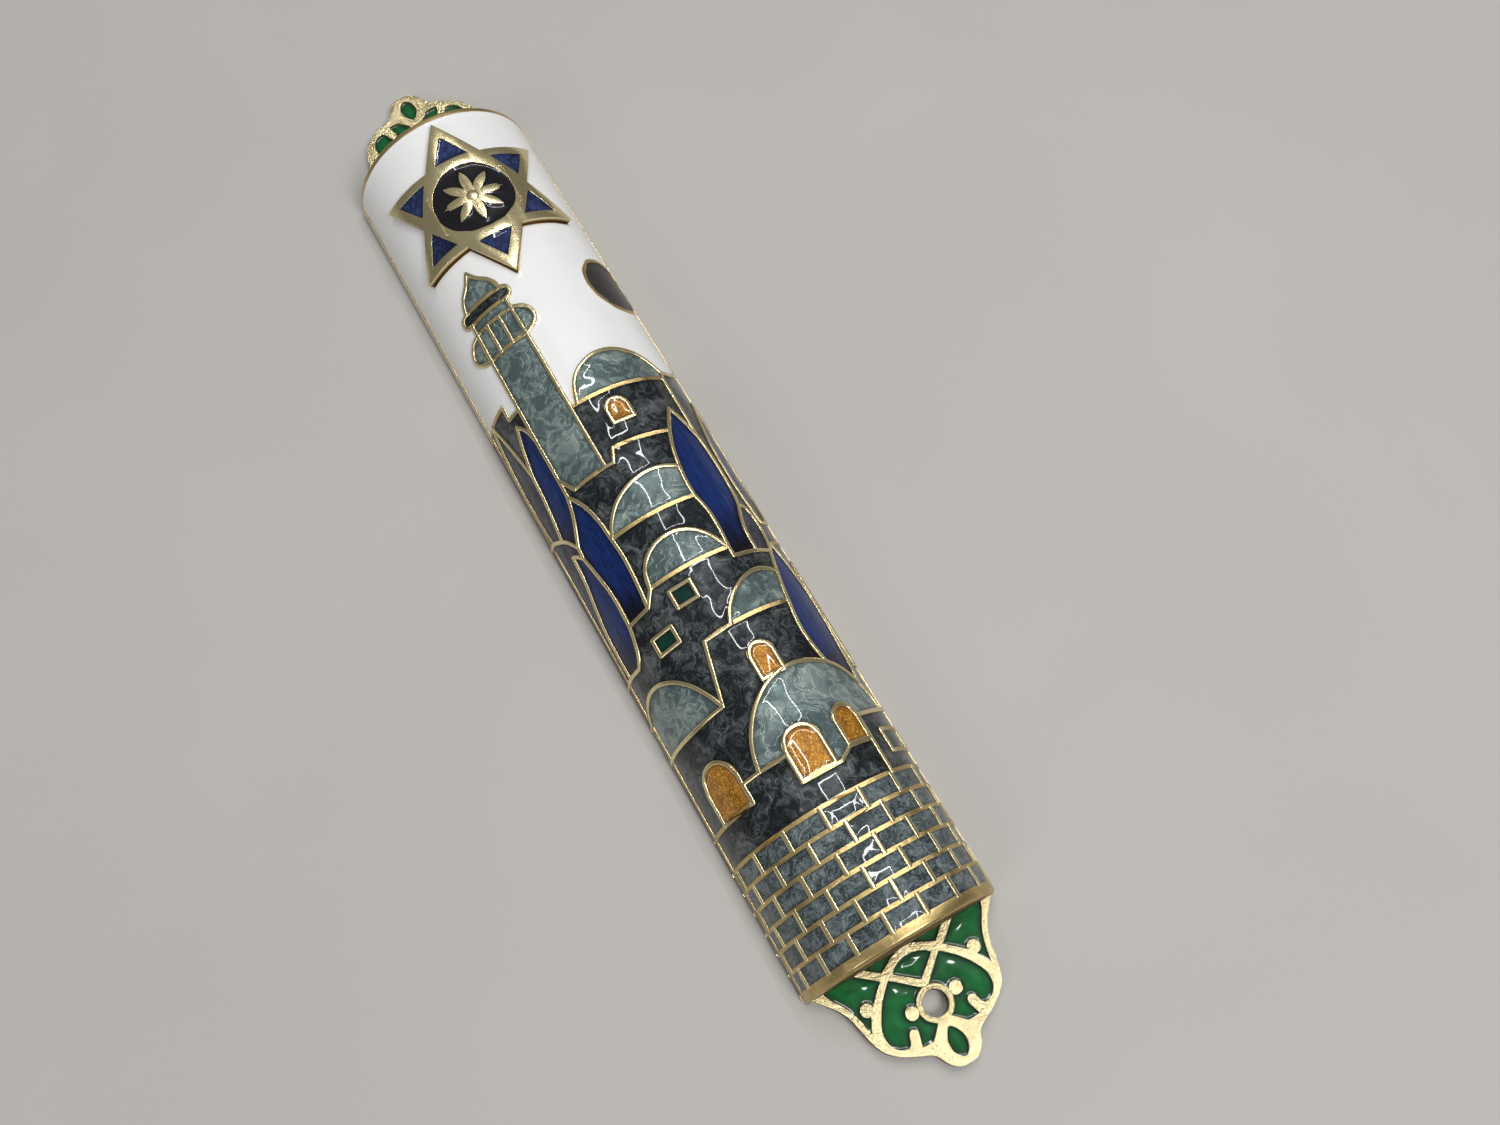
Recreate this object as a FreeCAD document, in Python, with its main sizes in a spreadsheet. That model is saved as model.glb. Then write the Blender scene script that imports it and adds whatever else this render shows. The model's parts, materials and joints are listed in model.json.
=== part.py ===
"""Mezuzah case: a half-round enamelled metal shell that slides on a flat back plate with two
ornamental ears, a raised star medallion on its front, and a rolled parchment scroll inside.

Frame, in millimetres: the case lies on its back. +Z is out of the front, +Y is towards the top of the
case, +X is to the right. The origin is the middle of the back face.
"""
import FreeCAD, Part
import math
import os
from FreeCAD import Vector

doc = FreeCAD.newDocument("mezuzah_case")

# ---------------------------------------------------------------- driving dimensions
SIZES = {
    "shell_length": 111.3,       # along the case, without the ears
    "shell_radius": 11.5,        # outside of the half-round shell
    "shell_wall": 1.3,           # metal with its enamel
    "end_wall": 1.5,             # the two half-round ends
    "edge_rounding": 0.4,        # outer edge of the ends
    "foot_gap": 0.2,             # shell's long edges above the door post
    "enamel_depth": 0.6,         # cell floors below the tops of the wires
    "enamel_drop": 0.1,          # enamel surface below the tops of the wires
    "wire_width": 0.45,          # gold line between two cells
    "plate_thickness": 1.6,      # back plate and its ears
    "tongue_thickness": 0.75,    # thin edge of the plate, which runs in the shell's grooves
    "tongue_width": 1.0,         # how far that edge stands out
    "groove_skin": 0.6,          # metal left outside the grooves
    "slide_clearance": 0.1,      # plate in its channel, each side
    "ear_length": 12.8,
    "ear_cell_depth": 0.7,
    "ear_wire_width": 0.7,
    "ear_tuck": 0.8,             # how far the ear's cells run in under the shell
    "hole_distance": 6.28,       # screw hole beyond the end of the shell
    "hole_radius": 1.4,
    "hole_ring": 0.55,           # width of the ring round the hole
    "scroll_headroom": 0.55,     # air between the scroll and the shell's roof
    "scroll_play": 4.15,         # air between the scroll and each end wall
    "scroll_gap": 0.05,          # scroll above the plate
    "parchment": 0.22,
    "turn_gap": 0.1,             # air between two turns of the scroll
    "scroll_turns": 6,
    "star_radius": 11.7,         # middle of the star to a tip
    "star_margin": 1.9,          # top tip of the star below the shell's top end
    "star_thickness": 0.8,       # star above the wires
    "star_cell_depth": 0.5,
    "star_border": 0.15,         # metal seat that shows round the star
    "star_band": 1.1,            # gold band round the star's blue cells
    "medallion_radius": 4.75,
    "rosette_radius": 3.7,
    "petals": 8,
    "petal_spread": 11.0,        # half the angle of a petal at its widest
    "arch_shoulder": 0.7,        # an arch's shoulders, as a share of its half width and rise
    "moon_radius": 4.0,
    "rim_top": 0.55,             # plain band at the shell's top end
    "rim_foot": 1.0,             # plain band at its bottom end
    "side_band": 1.76,           # plain band up from the long edges
    "brick_rows": 6,
    "brick_row_height": 2.345,
}


def make_sheet():
    """The spreadsheet holds each driving dimension under its own name."""
    table = doc.addObject("Spreadsheet::Sheet", "sizes")
    for row, (name, value) in enumerate(SIZES.items(), start=1):
        table.set("A%d" % row, name)
        table.set("B%d" % row, str(value))
        table.setAlias("B%d" % row, name)
    doc.recompute()
    return table


sheet = make_sheet()


def size(name):
    """A driving dimension, read from the sheet."""
    return float(sheet.get(name))


LENGTH = size("shell_length")
RADIUS = size("shell_radius")
HALF_LENGTH = LENGTH / 2
FLOOR_RADIUS = RADIUS - size("enamel_depth")
FACE_RADIUS = RADIUS - size("enamel_drop")
INNER_RADIUS = RADIUS - size("shell_wall")
WIRE = size("wire_width")
THICK = size("plate_thickness")
CLEAR = size("slide_clearance")

# The plate is narrower than the shell by the metal outside the grooves and the clearance.
GROOVE_HALF = RADIUS - size("groove_skin")
TONGUE_HALF = GROOVE_HALF - CLEAR
PLATE_HALF = TONGUE_HALF - size("tongue_width")
CHANNEL_HALF = PLATE_HALF + CLEAR
CHANNEL_TOP = THICK + CLEAR
TONGUE_BASE = THICK - size("tongue_thickness")
GROOVE_BASE = TONGUE_BASE - CLEAR

# The front is drawn flat, as if the shell were unrolled: x is the way round from its middle line and
# y the way up from its bottom end. It was drawn on a shell of this size and is stretched to fit.
DRAWN_LENGTH = 111.3
DRAWN_RADIUS = 11.5
ACROSS = RADIUS / DRAWN_RADIUS
ALONG = LENGTH / DRAWN_LENGTH
PANEL_HALF = RADIUS * math.pi / 2 - size("side_band")
PANEL_TOP = LENGTH - size("rim_top")
PANEL_FOOT = size("rim_foot")
BRICK_TOP = PANEL_FOOT + size("brick_rows") * size("brick_row_height")


# ---------------------------------------------------------------- flat drawing tools
def at(point):
    """A drawn point on this shell."""
    return Vector(point[0] * ACROSS, point[1] * ALONG, 0)


def flat_edge(points):
    """A straight line through two points or a smooth curve through more."""
    if len(points) == 2:
        return Part.LineSegment(points[0], points[1]).toShape()
    curve = Part.BSplineCurve()
    curve.interpolate(points)
    return curve.toShape()


def flat_face(edges):
    """A flat face inside a closed chain of edges."""
    return Part.Face(Part.Wire(edges))


def closed_outline(points, is_curve=False):
    """A face with straight sides, or one closed smooth curve."""
    if is_curve:
        curve = Part.BSplineCurve()
        curve.interpolate(points, PeriodicFlag=True)
        return flat_face([curve.toShape()])
    ring = points + points[:1]
    return flat_face([flat_edge(list(pair)) for pair in zip(ring, ring[1:])])


def disc(centre, radius):
    """A round face, in four arcs."""
    circle = Part.Circle(centre, Vector(0, 0, 1), radius)
    quarter = math.pi / 2
    return flat_face([circle.toShape(quarter * step, quarter * (step + 1)) for step in range(4)])


def box_face(left, right, low, high):
    """A rectangular face."""
    corners = [(left, low), (right, low), (right, high), (left, high)]
    return closed_outline([Vector(x, y, 0) for x, y in corners])


def grown(face, distance):
    """A face made larger, or smaller where the distance is negative."""
    if distance == 0:
        return face
    return face.makeOffset2D(distance, 0, False, False, True)


def faces_left(face, tools):
    """What is left of a face, slivers dropped, when other faces are cut from it."""
    left = face.cut(tools) if tools else face
    smallest = WIRE * WIRE
    return [piece for piece in left.Faces if piece.Area > smallest]


# ---------------------------------------------------------------- wrapping round the shell
# The shell's cylinder has its axis along Z while it is wrapped, with the seam at the back.
WRAPPED = FreeCAD.Placement(FreeCAD.Matrix(0, -1, 0, 0,
                                           0, 0, 1, -HALF_LENGTH,
                                           -1, 0, 0, 0,
                                           0, 0, 0, 1))
SAMPLE_STEP = 1.0
FEWEST_SAMPLES = 5
LONGEST_SPAN = 6


def cylinder(radius):
    """The surface that a flat drawing is rolled onto."""
    surface = Part.Cylinder()
    surface.Radius = radius
    return surface


def wrapped_edges(edge, surface):
    """A flat edge rolled onto a cylinder: its x becomes an angle, the same at every radius."""
    if isinstance(edge.Curve, Part.Line):
        flat = [vertex.Point for vertex in edge.Vertexes]
    else:
        flat = edge.discretize(max(FEWEST_SAMPLES, int(edge.Length / SAMPLE_STEP)))
    rolled = [FreeCAD.Base.Vector2d(math.pi + point.x / RADIUS, point.y) for point in flat]
    edges = []
    for first in range(0, len(rolled) - 1, LONGEST_SPAN):
        span = rolled[first:first + LONGEST_SPAN + 1]
        if len(span) == 2:
            edges.append(Part.Geom2d.Line2dSegment(span[0], span[1]).toShape(surface))
        else:
            curve = Part.Geom2d.BSplineCurve2d()
            curve.interpolate(span)
            edges.append(curve.toShape(surface))
    return edges


def wrapped_block(wire, inner, outer):
    """The solid between two radii inside one flat wire rolled round the shell."""
    floor, top = cylinder(inner), cylinder(outer)
    low = [rolled for edge in wire.OrderedEdges for rolled in wrapped_edges(edge, floor)]
    high = [rolled for edge in wire.OrderedEdges for rolled in wrapped_edges(edge, top)]
    sides = [Part.makeRuledSurface(a, b) for a, b in zip(low, high)]
    skin = Part.makeShell([Part.Face(Part.Wire(low)), Part.Face(Part.Wire(high))] + sides)
    skin.sewShape()
    solid = Part.Solid(skin.Shells[0])
    if solid.Volume < 0:
        solid.reverse()
    return solid


def wrapped_solid(face, inner, outer):
    """The solid between two radii that stands on a flat face, less the face's own holes."""
    block = wrapped_block(face.OuterWire, inner, outer)
    holes = [wire for wire in face.Wires if not wire.isSame(face.OuterWire)]
    if holes:
        block = block.cut([wrapped_block(wire, inner - 1, outer + 1) for wire in holes])
    return block


# ---------------------------------------------------------------- the picture on the front
# Every gold line of the picture, drawn once. A line with two points is straight.
LINES = {
    # sky line and top house
    "right_roofs": [(14.4, 69.2), (12.4, 68.4), (10.4, 68.4)],
    "top_dome": [(10.4, 68.4), (8.4, 70.7), (6.2, 71.95), (3.8, 72.4), (1.3, 71.8), (-0.6, 70.3),
                 (-1.75, 67.45)],
    "top_dome_base": [(-1.75, 67.45), (9.95, 67.5)],
    "top_dome_end": [(9.95, 67.5), (10.4, 68.4)],
    "top_eave": [(-2.6, 67.45), (-1.75, 67.45)],
    "top_house_right": [(9.95, 67.5), (9.8, 58.8)],
    # tower
    "tower_right": [(-2.6, 67.45), (-2.65, 78.5)],
    "tower_right_foot": [(-2.6, 59.05), (-2.6, 67.45)],
    "tower_left": [(-8.15, 78.5), (-8.2, 71.5)],
    "tower_left_middle": [(-8.2, 71.5), (-8.25, 67.0)],
    "tower_left_foot": [(-8.25, 67.0), (-8.25, 61.3)],
    "tower_corner": [(-8.25, 61.3), (-7.0, 59.1)],
    "tower_base": [(-7.0, 59.1), (-2.6, 59.05)],
    "balcony_floor": [(-8.15, 78.5), (-2.65, 78.5)],
    "balcony_right": [(-2.65, 78.5), (-1.4, 79.1), (-0.75, 80.4), (-1.4, 81.8), (-2.75, 82.4)],
    "balcony_left": [(-8.05, 82.4), (-9.5, 81.8), (-10.35, 80.4), (-9.6, 79.1), (-8.15, 78.5)],
    "neck_right": [(-2.75, 82.4), (-2.75, 83.85)],
    "neck_left": [(-8.05, 83.85), (-8.05, 82.4)],
    "collar_right": [(-2.75, 83.85), (-2.0, 84.1), (-1.85, 84.65), (-2.0, 85.2), (-2.75, 85.45)],
    "collar_left": [(-8.05, 85.45), (-8.9, 85.2), (-9.05, 84.65), (-8.9, 84.1), (-8.05, 83.85)],
    "spire_right": [(-2.75, 85.45), (-3.3, 87.1), (-4.5, 88.3), (-5.35, 89.6)],
    "spire_left": [(-5.35, 89.6), (-6.2, 88.3), (-7.45, 87.1), (-8.05, 85.45)],
    # roofs at the left
    "left_roof_step": [(-10.2, 71.55), (-8.2, 71.5)],
    "left_roof_drop": [(-10.2, 73.4), (-10.2, 71.55)],
    "left_roof": [(-14.0, 73.4), (-10.2, 73.4)],
    # trees at the left
    "far_tree_right": [(-14.0, 73.4), (-12.9, 70.2), (-12.0, 66.8), (-11.5, 64.3)],
    "far_tree_left": [(-14.0, 73.4), (-15.2, 69.0), (-15.8, 64.0), (-15.5, 60.0), (-14.9, 57.1)],
    "far_tree_foot": [(-14.9, 57.1), (-12.8, 56.1)],
    "upper_tree_left": [(-9.7, 70.1), (-10.6, 67.6), (-11.5, 64.3)],
    "upper_tree_low": [(-11.5, 64.3), (-11.8, 61.0), (-12.3, 58.0), (-12.8, 56.1)],
    "upper_tree_foot": [(-12.8, 56.1), (-11.7, 55.2), (-10.65, 53.8)],
    "upper_tree_right": [(-8.25, 67.0), (-8.75, 68.8), (-9.7, 70.1)],
    "tower_left_stem": [(-8.25, 61.3), (-8.3, 59.0)],
    "middle_tree_left": [(-8.3, 59.0), (-8.9, 57.0), (-9.8, 55.2), (-10.65, 53.8)],
    "middle_tree_notch": [(-10.65, 53.8), (-10.8, 52.4)],
    "middle_tree_low": [(-10.8, 52.4), (-10.2, 49.8), (-9.7, 46.8), (-9.75, 42.6)],
    "middle_tree_foot": [(-9.75, 42.6), (-6.45, 42.75)],
    "middle_tree_right": [(-8.3, 59.0), (-7.2, 57.2), (-6.5, 55.0), (-6.1, 51.6)],
    "middle_tree_edge": [(-6.1, 51.6), (-5.95, 49.0), (-6.1, 46.0), (-6.45, 42.75)],
    "low_tree_top": [(-12.4, 53.6), (-11.6, 53.2), (-10.8, 52.4)],
    "low_tree_left": [(-12.4, 53.6), (-12.7, 50.5), (-13.6, 47.3), (-14.4, 44.5), (-14.6, 41.5),
                      (-14.6, 38.6)],
    "low_tree_foot": [(-14.6, 38.6), (-11.8, 38.4)],
    "low_tree_right": [(-11.8, 38.4), (-11.0, 39.2), (-10.2, 41.0), (-9.75, 42.6)],
    # middle houses
    "ledge_side": [(-2.6, 59.05), (-1.6, 58.95)],
    "ledge_rise": [(-1.6, 58.95), (-0.85, 60.6)],
    "ledge": [(-0.85, 60.6), (6.15, 60.15)],
    "middle_dome": [(-6.1, 51.6), (-4.7, 53.7), (-2.4, 55.4), (0.6, 56.2), (2.8, 56.1), (4.7, 55.5)],
    "middle_dome_base": [(-6.1, 51.6), (4.4, 51.5)],
    "small_dome": [(-5.15, 44.35), (-4.5, 46.5), (-2.9, 48.0), (-0.6, 48.55), (1.5, 48.1), (3.2, 46.8),
                   (4.75, 44.4)],
    "small_dome_base": [(-5.15, 44.35), (4.75, 44.4)],
    "small_dome_foot": [(-5.15, 44.35), (-6.45, 42.75)],
    # tree and shrub at the right
    "right_tree_top": [(7.8, 63.0), (7.0, 61.7), (6.15, 60.15)],
    "right_tree_left": [(6.15, 60.15), (5.3, 58.0), (4.7, 55.5)],
    "right_tree_waist": [(4.7, 55.5), (4.45, 53.5), (4.4, 51.5)],
    "right_tree_low": [(4.4, 51.5), (4.9, 49.2), (4.95, 47.0), (4.75, 44.4)],
    "right_tree_stem": [(4.75, 44.4), (4.7, 43.2)],
    "right_tree_foot": [(4.7, 43.2), (8.0, 43.15)],
    "right_tree_right": [(7.8, 63.0), (8.5, 61.9), (9.2, 60.4), (9.8, 58.8)],
    "right_tree_edge": [(9.8, 58.8), (10.1, 56.5), (10.1, 53.0), (9.9, 50.8), (9.5, 49.2)],
    "shrub_left": [(9.5, 49.2), (8.4, 46.8), (8.05, 45.0), (8.0, 43.15)],
    "shrub_right": [(9.5, 49.2), (10.5, 48.7), (11.1, 46.8), (10.9, 44.8), (10.2, 42.9)],
    "shrub_foot": [(8.0, 43.15), (10.2, 42.9)],
    # lower right tree
    "low_right_tip": [(11.25, 43.9), (10.2, 42.9)],
    "low_right_shoulder": [(10.2, 42.9), (9.5, 41.3), (9.1, 40.1)],
    "low_right_roof": [(9.1, 40.1), (8.6, 38.6), (8.1, 36.5)],
    "low_right_wall": [(8.1, 36.5), (7.6, 34.0), (7.5, 32.0), (8.1, 28.6)],
    "low_right_edge": [(11.25, 43.9), (12.3, 41.3), (13.2, 38.2), (13.45, 35.0), (13.0, 31.5), (12.4, 28.3),
                       (11.75, 25.5)],
    # lower houses
    "right_dome": [(0.35, 36.35), (1.3, 38.1), (3.1, 39.8), (5.0, 40.7), (7.0, 40.9), (9.1, 40.1)],
    "right_dome_base": [(0.35, 36.35), (8.1, 36.5)],
    "house_top": [(-2.95, 36.1), (0.35, 36.35)],
    "house_left": [(-2.95, 36.1), (-4.7, 29.15)],
    "left_dome": [(-4.7, 29.15), (-5.6, 31.3), (-7.2, 33.6), (-9.2, 35.0), (-11.4, 35.55), (-13.7, 35.1),
                  (-15.9, 33.6)],
    "left_dome_base": [(-4.7, 29.15), (-10.0, 28.9), (-15.9, 28.8)],
    "great_dome": [(-4.9, 21.35), (-4.2, 23.9), (-2.9, 26.1), (-1.1, 27.9), (1.6, 29.3), (4.2, 29.6),
                   (8.1, 28.6)],
    "great_dome_side": [(8.1, 28.6), (10.1, 27.2), (11.75, 25.5)],
    "great_dome_end": [(11.75, 25.5), (13.0, 23.5), (13.5, 22.1)],
    "great_dome_base": [(7.9, 21.9), (13.5, 22.1)],
    "door_post": [(7.9, 21.9), (7.9, 19.1)],
    "door_step": [(7.9, 19.1), (4.8, 19.2)],
    "ramp": [(4.8, 19.2), (3.1, 18.15)],
    "sill": [(3.1, 18.15), (-1.55, 18.15)],
    "sill_rise": [(-1.55, 18.15), (-1.55, 21.35)],
    "great_dome_foot": [(-1.55, 21.35), (-4.9, 21.35)],
    "yard_top": [(-4.9, 21.35), (-7.1, 21.3)],
    "yard_drop": [(-7.1, 21.3), (-7.1, 19.15)],
}

# Each area is a chain of lines. It closes itself, and "left", "right", "top" and "bricks" in a chain
# take it along the panel's own edges: a pair is an edge and the height where the chain meets it.
AREAS = {
    "sky_enamel": [
        [("right", 71.2), "right_roofs", "top_dome", "top_eave", "tower_right", "balcony_right", "neck_right",
         "collar_right", "spire_right", "spire_left", "collar_left", "neck_left", "balcony_left",
         "tower_left", "left_roof_step", "left_roof_drop", "left_roof", ("left", 73.4), ("left", "top"),
         ("right", "top")],
    ],
    "tower_enamel": [
        ["tower_right_foot", "tower_right", "balcony_floor", "tower_left", "tower_left_middle",
         "tower_left_foot", "tower_corner", "tower_base"],
        ["balcony_left", (-8.05, 82.4)],
        ["balcony_right", (-2.65, 78.5)],
        [(-8.1, 78.5), (-8.05, 82.4), (-6.3, 82.4), (-6.3, 78.5)],
        [(-6.3, 78.5), (-6.3, 82.4), (-4.5, 82.4), (-4.5, 78.5)],
        [(-4.5, 78.5), (-4.5, 82.4), (-2.75, 82.4), (-2.65, 78.5)],
        ["neck_right", (-8.05, 83.85), "neck_left"],
        ["spire_right", "spire_left"],
    ],
    "tower_band_enamel": [
        ["collar_right", (-8.05, 85.45), "collar_left"],
    ],
    "dome_enamel": [
        ["top_dome", "top_dome_base", "top_dome_end"],
        ["middle_dome", "right_tree_waist", "middle_dome_base"],
        ["small_dome", "small_dome_base"],
        ["right_dome", "low_right_roof", "right_dome_base"],
        ["left_dome", ("left", 33.2), ("left", 28.75), (-15.9, 28.8), "left_dome_base"],
        ["great_dome", "great_dome_side", "great_dome_end", "great_dome_base", "door_post", "door_step",
         "ramp", "sill", "sill_rise", "great_dome_foot"],
    ],
    "wall_enamel": [
        ["top_eave", "top_dome_base", "top_house_right", "right_tree_right", "right_tree_top", "ledge",
         "ledge_rise", "ledge_side", "tower_right_foot"],
        [("left", 73.4), (-14.0, 73.4), "far_tree_left", ("left", 57.6)],
        ["left_roof", "left_roof_drop", "left_roof_step", "tower_left_middle", "upper_tree_right",
         "upper_tree_left", "far_tree_right"],
        ["tower_corner", "tower_base", "ledge_side", "ledge_rise", "ledge", "right_tree_left", "middle_dome",
         "middle_tree_right", "tower_left_stem"],
        ["middle_dome_base", "right_tree_low", "small_dome", "small_dome_foot", "middle_tree_edge"],
        [("left", 38.6), (-14.6, 38.6), "low_tree_foot", "low_tree_right", "middle_tree_foot",
         "small_dome_foot", "small_dome_base", "right_tree_stem", "right_tree_foot", "shrub_foot",
         "low_right_shoulder", "right_dome", "house_top", "house_left", "left_dome", ("left", 33.2)],
        ["house_top", "right_dome_base", "low_right_wall", "great_dome", "yard_top", "yard_drop",
         ("left", 19.1), ("left", 28.75), (-15.9, 28.8), "left_dome_base", "house_left"],
        [("left", 19.1), (-7.1, 19.15), "yard_drop", "yard_top", "great_dome_foot", "sill_rise", "sill",
         "ramp", "door_step", (7.9, "bricks"), ("left", "bricks")],
        ["great_dome_base", ("right", 22.6), ("right", "bricks"), (7.9, "bricks"), (7.9, 19.1), "door_post"],
        [("right", 71.2), "right_roofs", "top_dome_end", "top_house_right", "right_tree_edge", "shrub_right",
         "low_right_tip", ("right", 44.8)],
        [(11.25, 43.9), "low_right_edge", "great_dome_end", ("right", 22.6), ("right", 44.8)],
    ],
    "shrub_enamel": [
        ["far_tree_right", "upper_tree_low", "far_tree_foot", "far_tree_left"],
        ["shrub_right", "shrub_foot", "shrub_left"],
        [("left", 57.6), (-14.9, 57.1), "far_tree_foot", "upper_tree_foot", "middle_tree_notch",
         "low_tree_top", "low_tree_left", ("left", 38.6)],
    ],
    "cypress_enamel": [
        ["upper_tree_left", "upper_tree_low", "upper_tree_foot", "middle_tree_left", "tower_left_stem",
         "tower_left_foot", "upper_tree_right"],
        ["middle_tree_right", "middle_tree_edge", "middle_tree_foot", "middle_tree_low", "middle_tree_notch",
         "middle_tree_left"],
        ["low_tree_top", "middle_tree_low", "low_tree_right", "low_tree_foot", "low_tree_left"],
        ["right_tree_right", "right_tree_edge", "shrub_left", "right_tree_foot", "right_tree_stem",
         "right_tree_low", "right_tree_waist", "right_tree_left", "right_tree_top"],
        ["low_right_edge", "great_dome_side", "low_right_wall", "low_right_roof", "low_right_shoulder",
         "low_right_tip"],
    ],
}

# Free-standing trees in the walls at the right: tip, then the points down one side, the foot and back up.
ISLAND_TREES = [
    [(14.0, 64.5), (15.2, 61.0), (15.7, 56.5), (15.4, 51.5), (14.5, 47.2), (12.1, 46.9), (11.5, 50.5),
     (11.4, 55.0), (12.1, 60.0)],
    [(15.0, 41.8), (15.7, 38.0), (15.8, 33.0), (15.5, 28.0), (14.5, 28.0), (14.2, 33.0), (14.4, 38.0)],
]
ISLAND_TREE_FEET = [(4, 5), (3, 4)]

# Arched openings: left, right, sill, spring line and crown.
ARCHES = [
    (0.7, 3.25, 63.2, 64.9, 66.15),
    (0.3, 2.95, 29.45, 32.0, 33.35),
    (-12.2, -7.15, 19.2, 22.6, 25.1),
    (-1.45, 2.5, 18.3, 21.8, 23.6),
    (4.8, 7.7, 19.3, 22.2, 23.65),
]
# Square openings: left, right, low and high.
SQUARES = [
    (-3.55, -1.0, 40.75, 42.85),
    (-8.0, -5.2, 37.6, 39.6),
    (10.1, 14.4, 17.15, 19.75),
]
# Bricks of each course, from the top one down: where one joint is, and from joint to joint.
COURSES = [(-1.5, 4.52), (0.1, 4.45), (-2.4, 4.33), (-0.8, 4.32), (1.0, 4.12), (-1.45, 4.05)]
SHORTEST_BRICK = 1.2

MOON = (11.4, 82.1)
STAR_CENTRE = Vector(0, LENGTH - size("star_margin") - size("star_radius"), 0)


def edge_point(step):
    """A corner of an area: either number may be a word for an edge of the panel."""
    sides = {"left": -PANEL_HALF, "right": PANEL_HALF}
    levels = {"top": PANEL_TOP, "bricks": BRICK_TOP}
    across, along = step
    x = sides[across] if across in sides else across * ACROSS
    y = levels[along] if along in levels else along * ALONG
    return Vector(x, y, 0)


def area_face(chain):
    """The face inside a chain of lines and corners, each line turned to meet the one before it."""
    stretches = []
    for step in chain:
        stretches.append([edge_point(step)] if isinstance(step, tuple) else [at(p) for p in LINES[step]])
    if len(stretches[0]) > 1:
        first, second = stretches[0], stretches[1]
        ends = [second[0], second[-1]]
        if min(first[0].distanceToPoint(e) for e in ends) < min(first[-1].distanceToPoint(e) for e in ends):
            stretches[0] = first[::-1]
    edges = []
    here = stretches[0][0]
    start = here
    touching = WIRE / 100
    for points in stretches:
        if here.distanceToPoint(points[-1]) < here.distanceToPoint(points[0]):
            points = points[::-1]
        if here.distanceToPoint(points[0]) > touching:
            edges.append(flat_edge([here, points[0]]))
        if len(points) > 1:
            edges.append(flat_edge([here if here.distanceToPoint(points[0]) <= touching else points[0]]
                                   + points[1:]))
        here = points[-1]
    if here.distanceToPoint(start) > touching:
        edges.append(flat_edge([here, start]))
    return flat_face(edges)


def arch_face(left, right, sill, spring, crown):
    """An opening with straight sides and a round head."""
    lean = size("arch_shoulder")
    middle = (left + right) / 2
    shoulder = spring + (crown - spring) * lean
    head = [(right, spring), (middle + (right - middle) * lean, shoulder), (middle, crown),
            (middle - (middle - left) * lean, shoulder), (left, spring)]
    foot = [(left, spring), (left, sill), (right, sill), (right, spring)]
    edges = [flat_edge([at(p) for p in head])]
    edges += [flat_edge([at(a), at(b)]) for a, b in zip(foot, foot[1:])]
    return flat_face(edges)


def tree_face(points, foot):
    """A leaf-shaped tree: two curved sides from its tip to the two ends of its foot."""
    placed = [at(p) for p in points]
    down = placed[:foot[0] + 1]
    back = placed[foot[1]:] + placed[:1]
    return flat_face([flat_edge(down), flat_edge([down[-1], back[0]]), flat_edge(back)])


def star_points():
    """The twelve corners of the star, from its top tip round."""
    centre = STAR_CENTRE
    tip = size("star_radius")
    notch = tip / math.sqrt(3)
    corners = []
    for step in range(12):
        reach = tip if step % 2 == 0 else notch
        turn = math.radians(90 + 30 * step)
        corners.append(centre + Vector(reach * math.cos(turn), reach * math.sin(turn), 0))
    return corners


def star_cells():
    """The six triangular cells in the star's points."""
    centre = STAR_CENTRE
    tip = size("star_radius")
    base = tip / 2 + size("star_border")
    top = tip - 2 * size("star_band")
    half = (top - base) / math.sqrt(3)
    cells = []
    for step in range(6):
        turn = FreeCAD.Rotation(Vector(0, 0, 1), 60 * step)
        corners = [Vector(0, top, 0), Vector(half, base, 0), Vector(-half, base, 0)]
        cells.append(closed_outline([centre + turn.multVec(corner) for corner in corners]))
    return cells


def rosette_face():
    """Pointed petals joined at the middle of the medallion."""
    centre = STAR_CENTRE
    reach = size("rosette_radius")
    petals = int(size("petals"))
    notch, side = reach / 3, 0.7 * reach
    between = 360 / petals
    half, lean = between / 2, size("petal_spread")
    edges = []
    for step in range(petals):
        turns = [(notch, -half), (side, -lean), (reach, 0), (side, lean), (notch, half)]
        points = []
        for radius, angle in turns:
            turn = math.radians(90 + between * step + angle)
            points.append(centre + Vector(radius * math.cos(turn), radius * math.sin(turn), 0))
        edges += [flat_edge(points[:3]), flat_edge(points[2:])]
    return flat_face(edges)


def brick_faces():
    """The courses of bricks, each course from one side of the panel to the other."""
    bricks = []
    height = size("brick_row_height")
    for course in range(int(size("brick_rows"))):
        joint, pitch = COURSES[course % len(COURSES)]
        high = BRICK_TOP - course * height
        reach = PANEL_HALF / ACROSS - SHORTEST_BRICK
        steps = range(int((-reach - joint) // pitch) + 1, int((reach - joint) // pitch) + 1)
        joints = [(joint + pitch * step) * ACROSS for step in steps]
        edges = [-PANEL_HALF] + joints + [PANEL_HALF]
        bricks += [box_face(a, b, high - height, high) for a, b in zip(edges, edges[1:])]
    return bricks


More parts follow.
